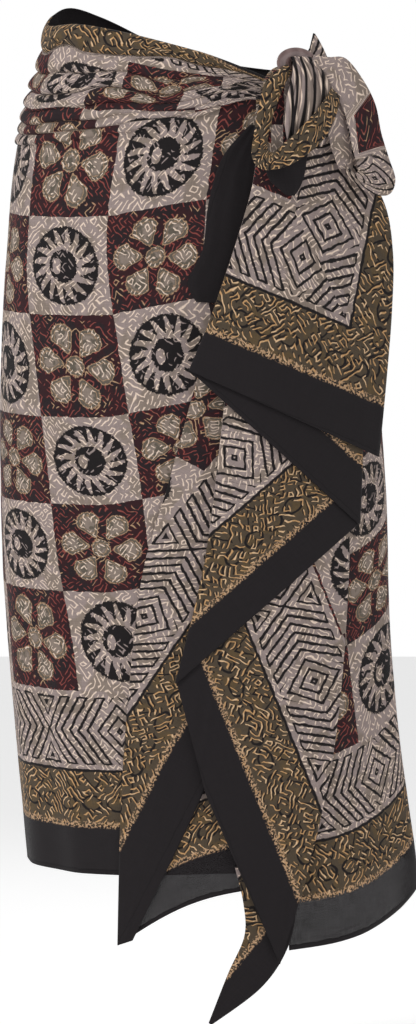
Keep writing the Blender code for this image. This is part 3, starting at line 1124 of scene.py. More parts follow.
@dataclass(frozen=True)
class Wrap:
    """The cloth wrapped round the hips: front, back and right hip."""

    # Angle; heights of the top edge, the gathers' lower end and the hem; how far the gathers stand out
    edges: Table = (
        (-76, -42, -70, -931, 0.0),
        (-56, -36, -66, -921, 0.5),
        (-30, -26, -86, -892, 0.8),
        (-14, -20, -98, -864, 0.85),
        (0, -18, -104, -852, 0.9),
        (35, -2, -100, -849, 0.55),
        (90, 22, -70, -842, 0.35),
        (128, 62, -60, -840, 0.5),
        (148, 71, -60, -839, 0.7),
        (168, 60, -72, -839, 0.9),
        (180, 49, -80, -841, 1.0),
        (195, 43, -84, -845, 1.0),
        (220, 41, -86, -851, 1.0),
        (240, 32, -80, -853, 1.0),
        (255, 22, -74, -852, 1.0),
        (272, 8, -62, -850, 0.9),
        (289, -10, -42, -850, 0.3),
        (298, -20, -46, -851, 0.0),
    )
    # Angle, width in degrees and strength of each soft fold
    folds: Table = (
        (-52, 9, 0.7),
        (-18, 8, 1.3),
        (22, 12, 0.8),
        (58, 11, 1.1),
        (92, 13, 1.0),
        (125, 10, 1.2),
        (158, 11, 0.8),
        (202, 9, 0.9),
        (226, 7, 1.1),
    )
    fold_height: float = 5.0
    # How far below the waist the folds start, over how far they grow, and how deep they are between crests
    fold_start: float = 150.0
    fold_run: float = 700.0
    fold_depth: float = 0.45
    # Height above the hem on the worn cloth, and on the flat cloth
    rows_up: Table = (
        (0, 0),
        (108, 104),
        (191, 192),
        (295, 294.4),
        (386, 396.8),
        (477, 499.2),
        (584, 601.6),
        (687, 704),
        (807, 806.4),
    )
    # How steeply the print's rows rise to the right in front, from this x on
    row_slope: float = 0.15
    slope_from: float = -95.0
    # Rises of the creases between the gathers, from 0, their lower end, to 1, the top edge
    creases: Row = (0.0, 0.093, 0.187, 0.30, 0.43, 0.607, 0.794, 1.0)
    # For a place among the creases: how far on the flat cloth is; cloth is folded away in a crease
    front_gathers: Table = ((0, 0), (3.1, 34), (4.94, 88), (5.06, 113), (5.94, 134), (6.06, 232), (7, 260))
    back_gathers: Table = ((0, 0), (3.1, 34), (4.94, 88), (5.06, 280), (7, 328))
    # For a place among the creases: how far the print is drawn sideways
    side_draw: Table = ((0, 0), (0.95, 0), (1.05, 26), (1.95, 26), (2.05, 46), (3.95, 40), (4.05, 4), (7, 0))
    gather_height: float = 8.5
    gather_sag: float = 0.4
    # Height, and x from which the falling ends hide the front
    fall_edge: Table = (
        (-930, -90),
        (-777, -84),
        (-651, -75),
        (-536, -61),
        (-446, -35),
        (-325, -10),
        (-284, -14),
        (-235, -17),
        (-200, -1),
        (-152, 5),
        (-105, 19),
        (-69, 48),
        (-58, 72),
        (20, 90),
    )
    # How far the hidden front stands out at most, and over how far it flattens
    hidden_swell: float = 0.3
    hidden_fade: float = 12.0
    # Share of a piece's rows that lies below the gathers
    low_share: float = 0.5
    # How far the gathers stand out at least
    gather_least: float = 0.35
    # The flat cloth's x in the middle of the front, and the height where its columns are that wide
    flat_front: float = 397.0
    flat_height: float = -500.0
    # Height, and how far the print's columns lean to the left there
    column_lean: Table = (
        (-846, 28),
        (-609, 34),
        (-514, 48),
        (-420, 58),
        (-315, 75),
        (-212, 92),
        (-150, 91),
        (-96, 86),
        (-60, 84),
        (40, 82),
    )
    # Degrees from the side to where the cloth is gathered wholly as the back is
    side_reach: float = 26.0
    front_end: float = 298.0
    # The hip's edge over the front, in degrees, how much farther it reaches at the hem, and its lift
    hip_start: float = -69.0
    hip_hem_reach: float = 4.0
    hip_lift: float = 5.0
    # Share across the hip where its hem stops being sheer, and over how much of it that happens
    sheer_end: float = 0.84
    sheer_fade: float = 0.32

    def at(self, angle: float, along: float, lift: float, behind: float = 0.0) -> Placed:
        """One point of the wrapped wall.

        Args:
            angle: Round the tube, in degrees.
            along: From 0, the hem, to 1, the top edge.
            lift: How far the stretch lies outside the tube.
            behind: How far it is gathered as the back is, from 0 to 1.

        Returns:
            The point and its place on the flat cloth.
        """
        top, low, hem, share = row_at(self.edges, angle)
        if along < self.low_share:
            rise = 0.0
            height = hem + (low - hem) * along / self.low_share
        else:
            rise = (along - self.low_share) / (1 - self.low_share)
            height = low + (top - low) * rise
        round_at = TUBE.round_from_front(angle)
        phase, ridge = self.gather(rise, top - low, round_at)
        growth = smooth_step((-height - self.fold_start) / self.fold_run)
        soft = sum(part * hump(angle, at, width) for at, width, part in self.folds)
        swell = self.fold_height * growth * (soft - self.fold_depth)
        ridge *= self.gather_least + (1 - self.gather_least) * share
        swell += self.crumple(round_at, height) + ridge
        across = TUBE.point(angle, height, lift).x
        flat_y = straight_at(self.rows_up, height - hem)
        if angle > 180:
            past = across - straight_at(self.fall_edge, height)
            hidden = smooth_step(past / self.hidden_fade + 1)
            swell -= hidden * max(0.0, swell - self.hidden_swell)
            tilt = self.row_slope * max(0.0, across - self.slope_from)
            tilt *= smooth_step((flat_y - 150) / 250) * smooth_step((-height - 50) / 140)
            flat_y -= tilt
        if rise:
            flat_y += straight_at(self.rows_up, low - hem) - straight_at(self.rows_up, height - hem)
            in_front = straight_at(self.front_gathers, phase)
            flat_y += in_front + behind * (straight_at(self.back_gathers, phase) - in_front)
        scale = TUBE.section(height)[2] / TUBE.section(self.flat_height)[2]
        lean = row_at(self.column_lean, round(height))[0]
        flat_x = self.flat_front + (round_at - lean) * scale - straight_at(self.side_draw, phase)
        sag = self.gather_sag * ridge * smooth_step((1 - rise) * 8)
        point = TUBE.point(angle, height, lift + swell)
        return point - Vector((0, 0, sag)), flat_x, flat_y

    def gather(self, rise: float, tall: float, round_at: float) -> tuple[float, float]:
        """The gathers at the waist.

        Args:
            rise: From 0, their lower end, to 1, the top edge.
            tall: Height from one to the other, in millimetres.
            round_at: Length round the waist, in millimetres.

        Returns:
            The place among the creases, whole at each crease, and how far the cloth stands out.
        """
        last = len(self.creases) - 1
        phases = tuple((crease, place) for place, crease in enumerate(self.creases))
        drift = noise.noise(Vector((round_at / 75, rise * 2.2, 4.0)))
        drift *= smooth_step(rise * 5) * smooth_step((1 - rise) * 5)
        phase = min(max(straight_at(phases, rise) + 0.6 * drift, 0.0), float(last))
        index = min(int(phase), last - 1)
        spacing = tall * (self.creases[index + 1] - self.creases[index])
        crest = abs(math.sin(math.pi * phase)) ** 0.62
        uneven = 0.85 + 0.5 * noise.noise(Vector((round_at / 45, index * 3.1, 9.0)))
        return phase, min(self.gather_height, 0.42 * spacing) * crest * uneven

    def crumple(self, round_at: float, height: float) -> float:
        """Finds the small soft creases of worn cotton, and the drag folds that fan out from the knot.

        Args:
            round_at: Length round the tube, in millimetres.
            height: The height.

        Returns:
            How far the cloth stands out for them.
        """
        wide = noise.noise(Vector((round_at / 75, height / 120, 0.0)))
        fine = noise.noise(Vector((round_at / 22, height / 40, 5.0)))
        drag_x, drag_z = round_at + 105, height + 45
        distance = math.hypot(drag_x, drag_z)
        turned = math.degrees(math.atan2(-drag_z, max(drag_x, 1.0)))
        pull = math.cos(math.radians(turned * 11 + 35 * noise.noise(Vector((distance / 90, 2.0, 0)))))
        near = smooth_step((distance - 50) / 90) * math.exp(-distance / 210)
        return 0.8 * wide + 0.35 * fine + 3.0 * near * pull * smooth_step((turned - 8) / 20)

    def build(self, cotton: bpy.types.Material, sheer: bpy.types.Material) -> None:
        """Makes the three stretches.

        Args:
            cotton: The close cotton.
            sheer: The cotton whose black band lets light through.
        """

        def front(across: float, along: float) -> Placed:
            """A point of the front."""
            angle = 180 + across * (self.front_end - 180)
            return self.at(round(angle, 4), along, 0.0)

        def back(across: float, along: float) -> Placed:
            """A point of the back."""
            angle = 180 * across
            behind = smooth_step(min(angle, 180 - angle) / self.side_reach)
            return self.at(round(angle, 4), along, 0.0, behind)

        def hip(across: float, along: float) -> Placed:
            """A point of the right hip, which lies over the end of the front."""
            reach = self.hip_hem_reach * smooth_step(1 - along / 0.08)
            angle = (self.hip_start - reach) * (1 - across)
            lift = self.hip_lift * smooth_step(-angle / 30)
            return self.at(round(angle, 4), along, lift)

        def thinned(across: float) -> float:
            """How sheer the hip's hem is: less towards the side."""
            return smooth_step((self.sheer_end - across) / self.sheer_fade)

        pieces = (
            ("wrapped_front", "front_panel", front, 190, 240, cotton, ("waist_knot", "back_panel")),
            ("wrapped_back", "back_panel", back, 170, 180, cotton, ("front_panel", "hip_panel")),
            ("wrapped_hip", "hip_panel", hip, 90, 200, sheer, ("waist_knot", "front_panel")),
        )
        long = CLOTH.width * MM
        for name, node, place, columns, rows, material, rests in pieces:
            piece = cloth_piece(name, columns, rows, place, sheer=thinned if material is sheer else None)
            wide = flat_area(piece) / long
            dress(piece, material, Slot.PRINTED, node, Held.GATHERED, (wide, long), rests)


@dataclass(frozen=True)
class Grain:
    """How the flat cloth lies on one fold of a falling end, in the plane seen from the front.

    Each pair is x and z in millimetres. flat_start is the flat cloth's place at the origin.
    """

    origin: tuple[float, float]
    along: tuple[float, float]
    inward: tuple[float, float]
    flat_start: float
    edge_start: float = 0.0
    edge_scale: float = 1.0
    edge_drift: Table = ((0, 0),)

    def flat(self, x: float, z: float) -> tuple[float, float]:
        """Finds a place on the flat cloth.

        Args:
            x: Place across, seen from the front.
            z: The height.

        Returns:
            Distance from the free edge and place along it.
        """
        off_x, off_z = x - self.origin[0], z - self.origin[1]
        (ax, az), (bx, bz) = self.along, self.inward
        area = ax * bz - az * bx
        forward = (off_x * bz - off_z * bx) / area
        inside = (ax * off_z - az * off_x) / area
        inside += straight_at(self.edge_drift, forward)
        return self.edge_start + inside * self.edge_scale, self.flat_start + forward


@dataclass(frozen=True)
class FoldedFall:
    """A stretch that falls in folds: it runs from line to line and turns back at each.

    lines are the fold lines from the top down, as x and z. lifts has, for each line, how far
    its nearer and farther layers stand in front of the tube, at the top and at the edge.
    """

    lines: tuple[Line, ...]
    lifts: Table
    panels: tuple[int, ...]
    grains: tuple[Grain, ...]
    rows: int
    passing: tuple[int, ...] = ()
    turn_steps: int = 6
    flat_x_sign: float = -1.0
    flat_x_start: float = CLOTH.length
    ripple: Row = ()

    def stations(self) -> list[tuple[int, float, float | None]]:
        """Lists the columns.

        Returns:
            For each one its line, share of the way to the next, and turn if it is in a fold.
        """
        found: list[tuple[int, float, float | None]] = [(0, 0.0, None)]
        last = len(self.lines) - 1
        for line, steps in enumerate(self.panels):
            found += [(line, step / steps, None) for step in range(1, steps)]
            end = line + 1
            if end == last or end in self.passing:
                found.append((line, 1.0, None))
            else:
                turns = self.turn_steps
                found += [(end, 0.0, math.pi * step / turns) for step in range(turns + 1)]
        return found

    def layer(self, line: int, along: float) -> tuple[float, float]:
        """Lift of a line's nearer and farther layers at a place from 0 to 1."""
        near_top, far_top, near_low, far_low = self.lifts[line]
        return near_top + (near_low - near_top) * along, far_top + (far_low - far_top) * along

    def at(self, station: tuple[int, float, float | None], along: float) -> Placed:
        """One point of the fall.

        Args:
            station: The column.
            along: From 0, the top, to 1, the free edge.

        Returns:
            The point and its place on the flat cloth.
        """
        line, share, turn = station
        x, z = curve_through(self.lines[line], along)
        near, far = self.layer(line, along)
        if turn is None:
            to_x, to_z = curve_through(self.lines[line + 1], along)
            lift = far + (self.layer(line + 1, along)[0] - far) * share
            x, z = x + (to_x - x) * share, z + (to_z - z) * share
            if self.ripple:
                lift += self.wave(line, share, along, x, z)
            grain = self.grains[line]
        else:
            before = curve_through(self.lines[line - 1], along)
            after = curve_through(self.lines[line + 1], along)
            out = Vector((x - (before[0] + after[0]) / 2, z - (before[1] + after[1]) / 2))
            out.normalize()
            radius = (near - far) / 2
            lift = (near + far) / 2 + radius * math.cos(turn)
            reach = abs(radius) * math.sin(turn)
            x, z = x + out.x * reach, z + out.y * reach
            grain = self.grains[line - 1] if turn < math.pi / 2 else self.grains[line]
        edge, place = grain.flat(x, z)
        return TUBE.in_front(x, z, lift), self.flat_x_start + self.flat_x_sign * edge, place

    def wave(self, line: int, share: float, along: float, x: float, z: float) -> float:
        """Finds the soft creases that fan out from the top and fade towards the fold lines.

        Args:
            line: The fold line that the stretch starts from.
            share: Share of the way to the next line.
            along: From 0, the top, to 1, the free edge.
            x: Place across.
            z: The height.

        Returns:
            How far the cloth stands out for them.
        """
        height = self.ripple[line]
        fade = smooth_step(share * 5) * smooth_step((1 - share) * 5)
        fan = noise.noise(Vector((share * 4.2 + line * 3.7, along * 1.4, line * 5.0)))
        fine = noise.noise(Vector((x / 26, z / 60, line * 9.0)))
        return height * fade * (0.9 * fan + 0.35 * fine + 0.25)

    def build(self, name: str) -> bpy.types.Object:
        """Makes the piece.

        Args:
            name: Its name.

        Returns:
            The piece.
        """
        columns = self.stations()
        last = len(columns) - 1

        def place(across: float, along: float) -> Placed:
            """A point of the grid."""
            return self.at(columns[round(across * last)], 1 - along)

        return cloth_piece(name, last, self.rows, place)


CASCADE = FoldedFall(
    lines=(
        ((124, -47), (160, -95), (193, -147), (203, -200), (202, -262), (196, -336), (188, -417)),
        ((80, -54), (65, -84), (56, -137), (43, -184), (26, -236), (9, -284), (-10, -329)),
        ((118, -55), (137, -105), (152, -168), (163, -242), (168, -326), (169, -410), (166, -487)),
        ((88, -54.5), (68, -116), (50, -189), (36, -284), (23, -399), (6, -529), (-24, -652)),
        ((97, -54.5), (87, -147), (71, -263), (55, -389), (40, -515), (23, -641), (6, -767)),
        ((103, -57), (105, -189), (104, -326), (101, -473), (97, -625), (90, -782), (83, -943)),
        ((111, -57), (131, -179), (145, -305), (154, -431), (153, -567), (137, -730), (104, -875)),
        ((99, -57), (95, -179), (92, -305), (88, -431), (82, -567), (74, -719), (67, -861)),
    ),
    lifts=(
        (38.0, 38.0, 30.0, 30.0),
        (36.5, 33.0, 28.6, 25.4),
        (31.5, 28.0, 24.0, 20.8),
        (26.5, 23.0, 16.2, 13.2),
        (22.5, 22.5, 12.4, 12.4),
        (22.5, 22.5, 12.4, 12.4),
        (22.0, 18.5, 12.0, 9.0),
        (17.0, 17.0, 7.2, 7.2),
    ),
    panels=(46, 44, 44, 24, 24, 16, 16),
    grains=(
        Grain((234, -419), (-0.927, 0.375), (0.191, 0.982), 0.0, edge_start=14.0, edge_scale=0.9),
        Grain((-10, -329), (0.744, -0.668), (0.668, 0.744), 216.0),
        Grain((166, -487), (-0.755, -0.656), (-0.656, 0.755), 451.0, edge_start=11.0),
        Grain((10.2, -649.3), (0.375, -0.927), (0.927, 0.375), 798.0, edge_start=48.0),
        Grain((10.2, -649.3), (0.375, -0.927), (0.927, 0.375), 798.0, edge_start=48.0),
        Grain((10.2, -649.3), (0.375, -0.927), (0.927, 0.375), 798.0, edge_start=48.0),
        Grain((10.2, -649.3), (0.375, -0.927), (0.927, 0.375), 798.0, edge_start=48.0),
    ),
    rows=150,
    passing=(4, 5),
    ripple=(2.4, 0.6, 0.8, 1.0, 1.4, 1.0, 0.4),
)

CORNER = FoldedFall(
    lines=(
        ((48, -325), (54, -441), (57, -567), (59, -672), (59, -777), (56, -866)),
        ((2, -325), (-31, -446), (-57, -536), (-71, -651), (-80, -777), (-84, -925)),
        ((45, -325), (55, -446), (60, -557), (48, -655), (3, -767), (-70, -920)),
    ),
    lifts=((1.6, 1.6, 1.6, 1.6), (1.6, 5.2, 1.6, 5.2), (5.2, 5.2, 5.2, 5.2)),
    panels=(36, 36),
    grains=(
        Grain((-84, -925), (0.0, 1.0), (1.0, 0.0), 0.0, edge_start=110.0),
        Grain(
            (-79, -922), (0.452, 0.892), (-0.892, 0.452), 24.0,
            edge_drift=((200, 0), (308, 13), (404, 27), (515, 55), (650, 90)),
        ),
    ),
    rows=130,
    flat_x_sign=1.0,
    flat_x_start=0.0,
    ripple=(0.5, 0.9),
)

BAND = FoldedFall(
    lines=(
        ((52, -69), (23, -105), (9, -152), (3, -200), (-13, -235), (-4, -256)),
        ((67, -71), (59, -116), (55, -158), (49, -200), (42, -236), (31, -258)),
    ),
    lifts=((1.75, 1.75, 1.75, 1.75), (1.75, 1.75, 1.75, 1.75)),
    panels=(30,),
    grains=(Grain((9, -152), (0.30, 0.95), (0.95, -0.30), 500.0),),
    rows=80,
    flat_x_sign=1.0,
    flat_x_start=0.0,
    ripple=(0.7,),
)

TIP = FoldedFall(
    lines=(
        ((36, -842), (45, -880), (46, -914), (29, -953), (9, -1004)),
        ((97, -850), (100, -887), (90, -929), (63, -968), (12, -1006)),
    ),
    lifts=((5.5, 5.5, 5.5, 5.5), (5.5, 5.5, 5.5, 5.5)),
    panels=(30,),
    grains=(Grain((14, -1005), (0.641, 0.768), (-0.768, 0.641), 300.0, edge_start=28.0),),
    rows=60,
    ripple=(0.4,),
)


@dataclass(frozen=True)
class Strand:
    """One stretch of the bow: a strip along rows of two edges and a lift."""

    name: str
    node: str
    slot: Slot
    # x and z of one edge, x and z of the other, and how far the strip lies in front of the tube
    rows: Table
    columns: int
    lengths: int
    flat_corner: tuple[float, float]
    flat_turn: float = 0.0
    flat_length: float = 1.0
    flat_sway: Table = ((0, 0),)
    plain_until: float = 0.0
    stretch: float = 1.25
    cup: float = 3.0
    pleats: float = 0.0
    pleat_height: float = 0.0
    crease: float = 0.5

    def length(self) -> float:
        """Measures the strip along its middle.

        Returns:
            The length, in millimetres.
        """
        rows = (curve_through(self.rows, step / 30) for step in range(31))
        points = [TUBE.in_front((r[0] + r[2]) / 2, (r[1] + r[3]) / 2, r[4]) for r in rows]
        return sum((b - a).length for a, b in zip(points, points[1:]))

    def build(self) -> bpy.types.Object:
        """Makes the piece.

        Returns:
            The piece.
        """
        length = self.length()
        turned = math.radians(self.flat_turn)
        # Each strand's noise starts at another place, worked out from its name
        seed = float(sum(map(ord, self.name)) % 97)

        def place(across: float, along: float) -> Placed:
            """Finds one point of the grid.

            Args:
                across: From 0, one edge, to 1, the other.
                along: From 0, the end, to 1, the start.

            Returns:
                The point and its place on the flat cloth.
            """
            down = 1 - along
            x_start, z_start, x_end, z_end, lift = curve_through(self.rows, down)
            x = x_start + (x_end - x_start) * across
            z = z_start + (z_end - z_start) * across
            width = math.hypot(x_end - x_start, z_end - z_start)
            swell = min(self.cup, width * 0.2) * math.sin(math.pi * across)
            drift = 0.35 * noise.noise(Vector((across * 2.5, down * 2.2, seed)))
            if self.pleats:
                ridge = abs(math.sin(math.pi * self.pleats * (across + drift * 0.12))) ** 0.8
                swell += self.pleat_height * ridge * smooth_step(down * 4)
            crumple = noise.noise(Vector((across * 6, down * length / 22, seed + 5)))
            fade = smooth_step(across * 6) * smooth_step((1 - across) * 6)
            swell += self.crease * crumple * fade
            flat_across = (across - 0.5) * width * self.stretch + straight_at(self.flat_sway, down)
            flat_down = down * length * self.flat_length
            flat_x = flat_across * math.cos(turned) + flat_down * math.sin(turned)
            flat_y = flat_across * math.sin(turned) - flat_down * math.cos(turned)
            return (
                TUBE.in_front(x, z, lift + swell),
                self.flat_corner[0] + flat_x,
                self.flat_corner[1] + flat_y,
            )

        def plain(along: float) -> float:
            """1 where the strand's print has no ink."""
            return smooth_step((self.plain_until - 1 + along) * 20 + 0.5) if self.plain_until else 0.0

        return cloth_piece(self.name, self.columns, self.lengths, place, plain)


STRANDS = (
    Strand(
        "bow_strap", "bow_left_loop", Slot.BORDER,
        (
            (90, -8, 96, -14, 51.6),
            (69, -27, 86, -35, 56),
            (61, -55, 78, -57, 58),
            (56, -84, 71, -82, 60),
            (54, -108, 70, -99, 62),
            (65, -121, 75, -103, 65),
            (88, -118, 83, -97, 68),
            (111, -104, 101, -80, 70),
            (131, -84, 120, -59, 70),
            (143, -57, 132, -41, 67.5),
            (146, -40, 137, -32, 63.3),
        ),
        40, 260, (78.0, 900.0), pleats=2.0, pleat_height=0.8,
    ),
    Strand(
        "bow_pleated_fan", "bow_fan", Slot.PRINTED,
        (
            (96, -12, 109, -11, 38.8),
            (95, -4, 111, -3, 42),
            (95, 0, 114, 1, 48.5),
            (97, -5, 119, -3, 54),
            (96, -21, 131, -18, 59.5),
            (90, -47, 140, -45, 61),
            (88, -71, 137, -71, 58),
            (92, -94, 127, -94, 54),
        ),
        130, 110, (560.0, 166.0), flat_length=0.18, stretch=1.05, cup=1.0, pleats=7.0, pleat_height=2.8,
        crease=0.3,
    ),
    Strand(
        "bow_wide_loop", "bow_right_loop", Slot.PRINTED,
        (
            (119, 3, 114, -8, 49.2),
            (135, 2, 124, -17, 51.5),
            (153, 1, 136, -29, 56.5),
            (171, -21, 147, -48, 62),
            (184, -47, 155, -71, 64),
            (190, -77, 160, -97, 64),
            (198, -103, 164, -112, 63),
            (205, -126, 165, -117, 60),
            (197, -142, 164, -120, 57),
            (174, -139, 160, -120, 55.5),
            (152, -122, 153, -112, 55),
        ),
        60, 260, (436.0, 164.0), flat_turn=-90.0,
        flat_sway=((0, 0), (0.35, 0), (0.38, -40), (0.53, -44), (0.56, 14), (1, 14)),
        plain_until=0.56, cup=3.0, pleats=2.0, pleat_height=1.1, crease=1.0,
    ),
    Strand(
        "bow_rear_strand", "bow_back_strand", Slot.PRINTED,
        (
            (128, -30, 138, -25, 54),
            (130, -46, 145, -41, 56),
            (132, -68, 152, -65, 54),
            (137, -95, 158, -92, 51.5),
            (145, -116, 160, -117, 49.4),
        ),
        30, 90, (655.0, 160.0), flat_turn=-90.0, plain_until=1.2, crease=0.6,
    ),
    Strand(
        "bow_inner_strand", "bow_inner_loop", Slot.DARK,
        (
            (86, -22, 95, -20, 49.6),
            (79, -36, 93, -34, 49.6),
            (76, -58, 95, -58, 49),
            (74, -86, 95, -84, 48),
            (77, -113, 94, -106, 48),
        ),
        30, 90, (702.0, 352.0), cup=1.5, crease=0.4,
    ),
    Strand(
        "bow_black_tail", "bow_tail", Slot.BLACK,
        (
            (67, -111, 112, -99, 45),
            (71, -128, 109, -122, 44),
            (81, -139, 104, -137, 42.5),
            (90, -146, 98, -146, 41),
        ),
        50, 50, (24.0, 700.0), stretch=0.7, cup=1.0, crease=0.4,
    ),
    Strand(
        "bow_leaf", "bow_tip", Slot.PRINTED,
        (
            (108, 0, 136, -6, 40.0),
            (114, 10, 133, 4, 39.2),
            (117, 20, 127, 17, 36),
            (119, 28, 121, 27, 35),
        ),
        40, 50, (740.0, 150.0), stretch=1.4, cup=2.0, pleats=3.0, pleat_height=1.2,
    ),
)


@dataclass(frozen=True)
class Knot:
    """The gathered knot behind the ring."""

    centre: tuple[float, float] = (88.0, -32.0)
    lift: float = 23.5
    halves: tuple[float, float, float] = (24.0, 14.3, 23.2)
    pleats: int = 9
    pleat_share: float = 0.07
    # How sharp the pleats are, how far they drift, and how quickly that changes
    pleat_power: float = 0.7
    drift: float = 0.9
    drift_scale: float = 1.6
    # The flat cloth's x and y in the middle, and how much of it each millimetre takes up
    flat_middle: tuple[float, float] = (480.0, 300.0)
    flat_stretch: tuple[float, float] = (1.5, 2.4)

    def build(self, cotton: bpy.types.Material) -> bpy.types.Object:
        """Makes the knot from a sphere drawn out along x and pleated round it.

        Args:
            cotton: Its finish.

        Returns:
            The piece.
        """
        lump = bmesh.new()
        bmesh.ops.create_uvsphere(lump, u_segments=180, v_segments=60, radius=1.0)
        turn = TUBE.facing(*self.centre)
        middle = TUBE.in_front(*self.centre, self.lift)
        (flat_x, flat_y), (stretch_x, stretch_y) = self.flat_middle, self.flat_stretch
        flats = {}
        for corner in lump.verts:
            around = math.atan2(corner.co.y, corner.co.x)
            out = math.hypot(corner.co.x, corner.co.y)
            spot = Vector((corner.co.z * self.drift_scale, math.cos(around), math.sin(around)))
            drift = self.drift * noise.noise(spot)
            fold = abs(math.cos((self.pleats * around + drift) / 2)) ** self.pleat_power
            pleat = 1 + self.pleat_share * out * (2 * fold - 1)
            point = Vector(
                (
                    corner.co.z * self.halves[0],
                    corner.co.x * pleat * self.halves[1],
                    corner.co.y * pleat * self.halves[2],
                )
            )
            place = ((flat_x + stretch_x * point.x) * MM, (flat_y + stretch_y * point.z) * MM)
            flats[corner.index] = place
            corner.co = (middle + turn @ point) * MM
        made = object_from("gathered_knot", lump, flats)
        stand_for(made, "waist_knot", cotton, Slot.PRINTED)
        return made


@dataclass(frozen=True)
class Ring:
    """The flat oval ring of shell that the ends are pulled through."""

    centre: tuple[float, float] = (102.0, -6.5)
    lift: float = 44.0
    middle_radius: float = 16.1
    band_radius: float = 8.8
    thickness_share: float = 0.26
    height_share: float = 0.7
    lean: float = math.radians(5)

    def build(self) -> bpy.types.Object:
        """Makes the ring by spinning its oval section.

        Returns:
            The piece.
        """
        band = bmesh.new()
        bmesh.ops.create_circle(band, segments=40, radius=self.band_radius * MM)
        upright = Matrix.Rotation(math.pi / 2, 3, "X")
        bmesh.ops.rotate(band, cent=(0, 0, 0), matrix=upright, verts=band.verts)
        bmesh.ops.scale(band, vec=(1, 1, self.thickness_share), verts=band.verts)
        bmesh.ops.translate(band, vec=(self.middle_radius * MM, 0, 0), verts=band.verts)
        bmesh.ops.spin(
            band,
            geom=band.verts[:] + band.edges[:],
            cent=(0, 0, 0),
            axis=(0, 0, 1),
            angle=2 * math.pi,
            steps=120,
            use_merge=True,
        )
        squeeze = Matrix.Diagonal((1.0, self.height_share, 1.0, 1.0))
        stand = Matrix.Rotation(math.pi / 2 - self.lean, 4, "X")
        turn = TUBE.facing(*self.centre)
        bmesh.ops.transform(band, matrix=turn @ stand @ squeeze, verts=band.verts)
        bmesh.ops.translate(band, vec=TUBE.in_front(*self.centre, self.lift) * MM, verts=band.verts)
        bmesh.ops.recalc_face_normals(band, faces=band.faces)
        made = object_from("shell_ring", band)
        stand_for(made, "hip_ring", ShellFinish().build(), Slot.SHELL)
        return made


@dataclass(frozen=True)
class Falls:
    """The falling ends: cascade, corner, waist band and lowest tip."""

    # How far the middle of the corner's hem is arched up
    hem_arch: float = 12.0

    def corner(self) -> bpy.types.Object:
        """Makes the lower corner of the under end, with its arched hem.

        Returns:
            The piece.
        """
        columns = CORNER.stations()
        last = len(columns) - 1

        def place(across: float, along: float) -> Placed:
            """Finds one point of the grid, and arches the hem of the nearer layer.

            Args:
                across: From 0, the first column, to 1, the last.
                along: From 0, the free edge, to 1, the top.

            Returns:
                The point and its place on the flat cloth.
            """
            station = columns[round(across * last)]
            point, flat_x, flat_y = CORNER.at(station, 1 - along)
            line, share, turn = station
            if line == 0 and turn is None:
                arch = self.hem_arch * math.sin(math.pi * share)
                point.z += arch * smooth_step(1 - 3 * along)
                hem = CORNER.lines[0][-1][1] * (1 - share) + CORNER.lines[1][-1][1] * share
                flat_y = point.z - hem - arch
            return point, flat_x, flat_y

        return cloth_piece("under_end_corner", last, CORNER.rows, place)

    def build(self, cotton: bpy.types.Material, sheer: bpy.types.Material) -> None:
        """Makes the four pieces.

        Args:
            cotton: The close cotton.
            sheer: The cotton whose black band lets light through.
        """
        full = CLOTH.width * MM
        # Piece, finish, slot, solid, how it is held, length along the edge in metres, what it rests on
        falls = (
            (CASCADE.build("zigzag_fall"), cotton, Slot.BORDER, "cascade", Held.HUNG, full, "waist_knot"),
            (self.corner(), sheer, Slot.DARK, "corner_fold", Held.FOLDED, 0.6, "front_panel"),
            (BAND.build("waist_band"), cotton, Slot.BLACK, "waist_band_fall", Held.HUNG, 0.2, "front_panel"),
            (TIP.build("lowest_tip"), cotton, Slot.BLACK, "lower_tip", Held.HUNG, 0.17, "cascade"),
        )
        for piece, material, slot, node, held, long, below in falls:
            dress(piece, material, slot, node, held, (flat_area(piece) / long, long), (below,))


@dataclass(frozen=True)
class Bow:
    """The stretches of cloth that come out of the ring."""

    def build(self, cotton: bpy.types.Material) -> None:
        """Makes every strand."""
        for strand in STRANDS:
            piece = strand.build()
            long = strand.length() * MM
            flat = (flat_area(piece) / long, long)
            dress(piece, cotton, strand.slot, strand.node, Held.FOLDED, flat, ("hip_ring",))


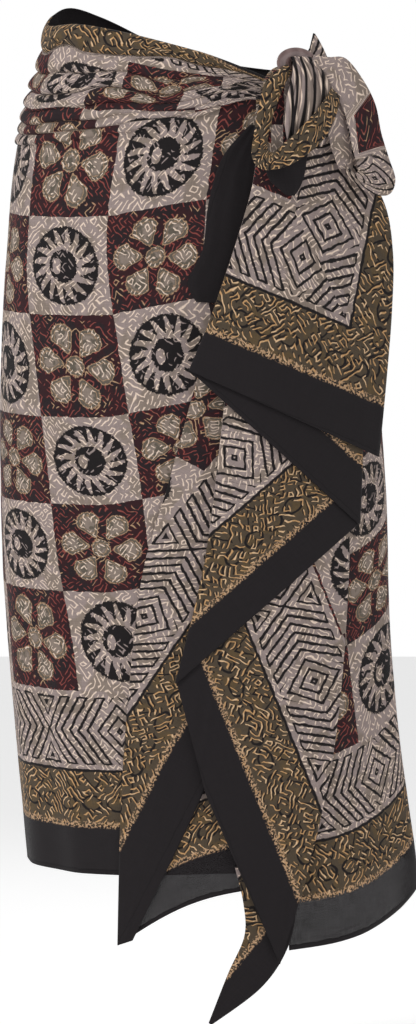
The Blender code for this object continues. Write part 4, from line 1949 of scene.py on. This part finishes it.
@dataclass(frozen=True)
class Studio:
    """A plain pale floor, soft light and a long lens at the height of the knees."""

    floor_height: float = -1.085
    floor_size: float = 15.0
    # The camera's distance from the origin, its x and z, and how high a stretch it shows at the front
    distance: float = 5.1
    aim: tuple[float, float] = (0.0084, -0.4746)
    view_height: float = 1.0752
    front_depth: float = 0.1
    film: float = 36.0
    sky_light: float = 0.54
    # Name, place, side in metres and power in watts of each light, and the point they are aimed at
    lights: tuple = (
        ("key", (-2.1, -2.0, 2.2), 1.0, 58.0),
        ("fill", (2.2, -2.2, 0.4), 1.8, 7.0),
        ("back", (0.6, 2.6, 1.4), 1.6, 12.0),
    )
    light_aim: tuple[float, float, float] = (0.0, 0.0, -0.45)

    def build(self) -> None:
        """Makes the floor, the lights and the camera."""
        scene = bpy.context.scene
        ground = bmesh.new()
        bmesh.ops.create_grid(ground, x_segments=1, y_segments=1, size=self.floor_size)
        bmesh.ops.translate(ground, vec=(0, 0, self.floor_height), verts=ground.verts)
        floor = object_from("studio_floor", ground)
        pale = bpy.data.materials.new("pale_floor")
        pale.use_nodes = True
        shader = pale.node_tree.nodes["Principled BSDF"]
        shader.inputs["Base Color"].default_value = (0.93, 0.93, 0.93, 1.0)
        shader.inputs["Roughness"].default_value = 0.9
        shader.inputs["Emission Color"].default_value = (1.0, 1.0, 1.0, 1.0)
        shader.inputs["Emission Strength"].default_value = 0.3
        floor.data.materials.append(pale)

        world = bpy.data.worlds.new("studio")
        scene.world = world
        world.use_nodes = True
        w = Wiring(world.node_tree)
        sky = world.node_tree.nodes["Background"]
        sky.inputs[0].default_value = (1.0, 1.0, 1.0, 1.0)
        seen = w.node("ShaderNodeLightPath").outputs["Is Camera Ray"]
        w.feed(sky.inputs[1], w.add(self.sky_light, w.mul(seen, 1.0 - self.sky_light)))
        scene.view_settings.view_transform = "Standard"
        for name, place, size, power in self.lights:
            self.light(name, place, size, power)

        lens = bpy.data.cameras.new("photo_view")
        lens.sensor_width = self.film
        lens.lens = self.film * (self.distance - self.front_depth) / self.view_height
        lens.clip_end = 60.0
        camera = bpy.data.objects.new("photo_view", lens)
        scene.collection.objects.link(camera)
        camera.location = (self.aim[0], -self.distance, self.aim[1])
        camera.rotation_euler = (math.pi / 2, 0.0, 0.0)
        scene.camera = camera

    def light(self, name: str, place: tuple[float, float, float], size: float, power: float) -> None:
        """One square soft light aimed at the sarong.

        Args:
            name: Its name.
            place: Where it stands, in metres.
            size: Its side, in metres.
            power: In watts.
        """
        data = bpy.data.lights.new(name, "AREA")
        data.size = size
        data.energy = power
        lamp = bpy.data.objects.new(name, data)
        bpy.context.scene.collection.objects.link(lamp)
        lamp.location = place
        aim = Vector(self.light_aim) - Vector(place)
        lamp.rotation_euler = aim.to_track_quat("-Z", "Y").to_euler()


def main() -> None:
    """Builds every piece in order and reports each."""
    logging.basicConfig(level=logging.INFO, format="%(message)s")
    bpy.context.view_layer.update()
    print_group = BatikPrint().build(Strokes().build(), Weave().build())
    cotton = CottonFinish("batik_cotton").build(print_group)
    sheer = CottonFinish("batik_cotton_sheer", sheerness=0.17).build(print_group)
    Studio().build()
    Wrap().build(cotton, sheer)
    Falls().build(cotton, sheer)
    Bow().build(cotton)
    for solid in (Knot().build(cotton), Ring().build()):
        LOG.info("%s: %d faces", solid.name, len(solid.data.polygons))


if __name__ == "__main__":
    main()
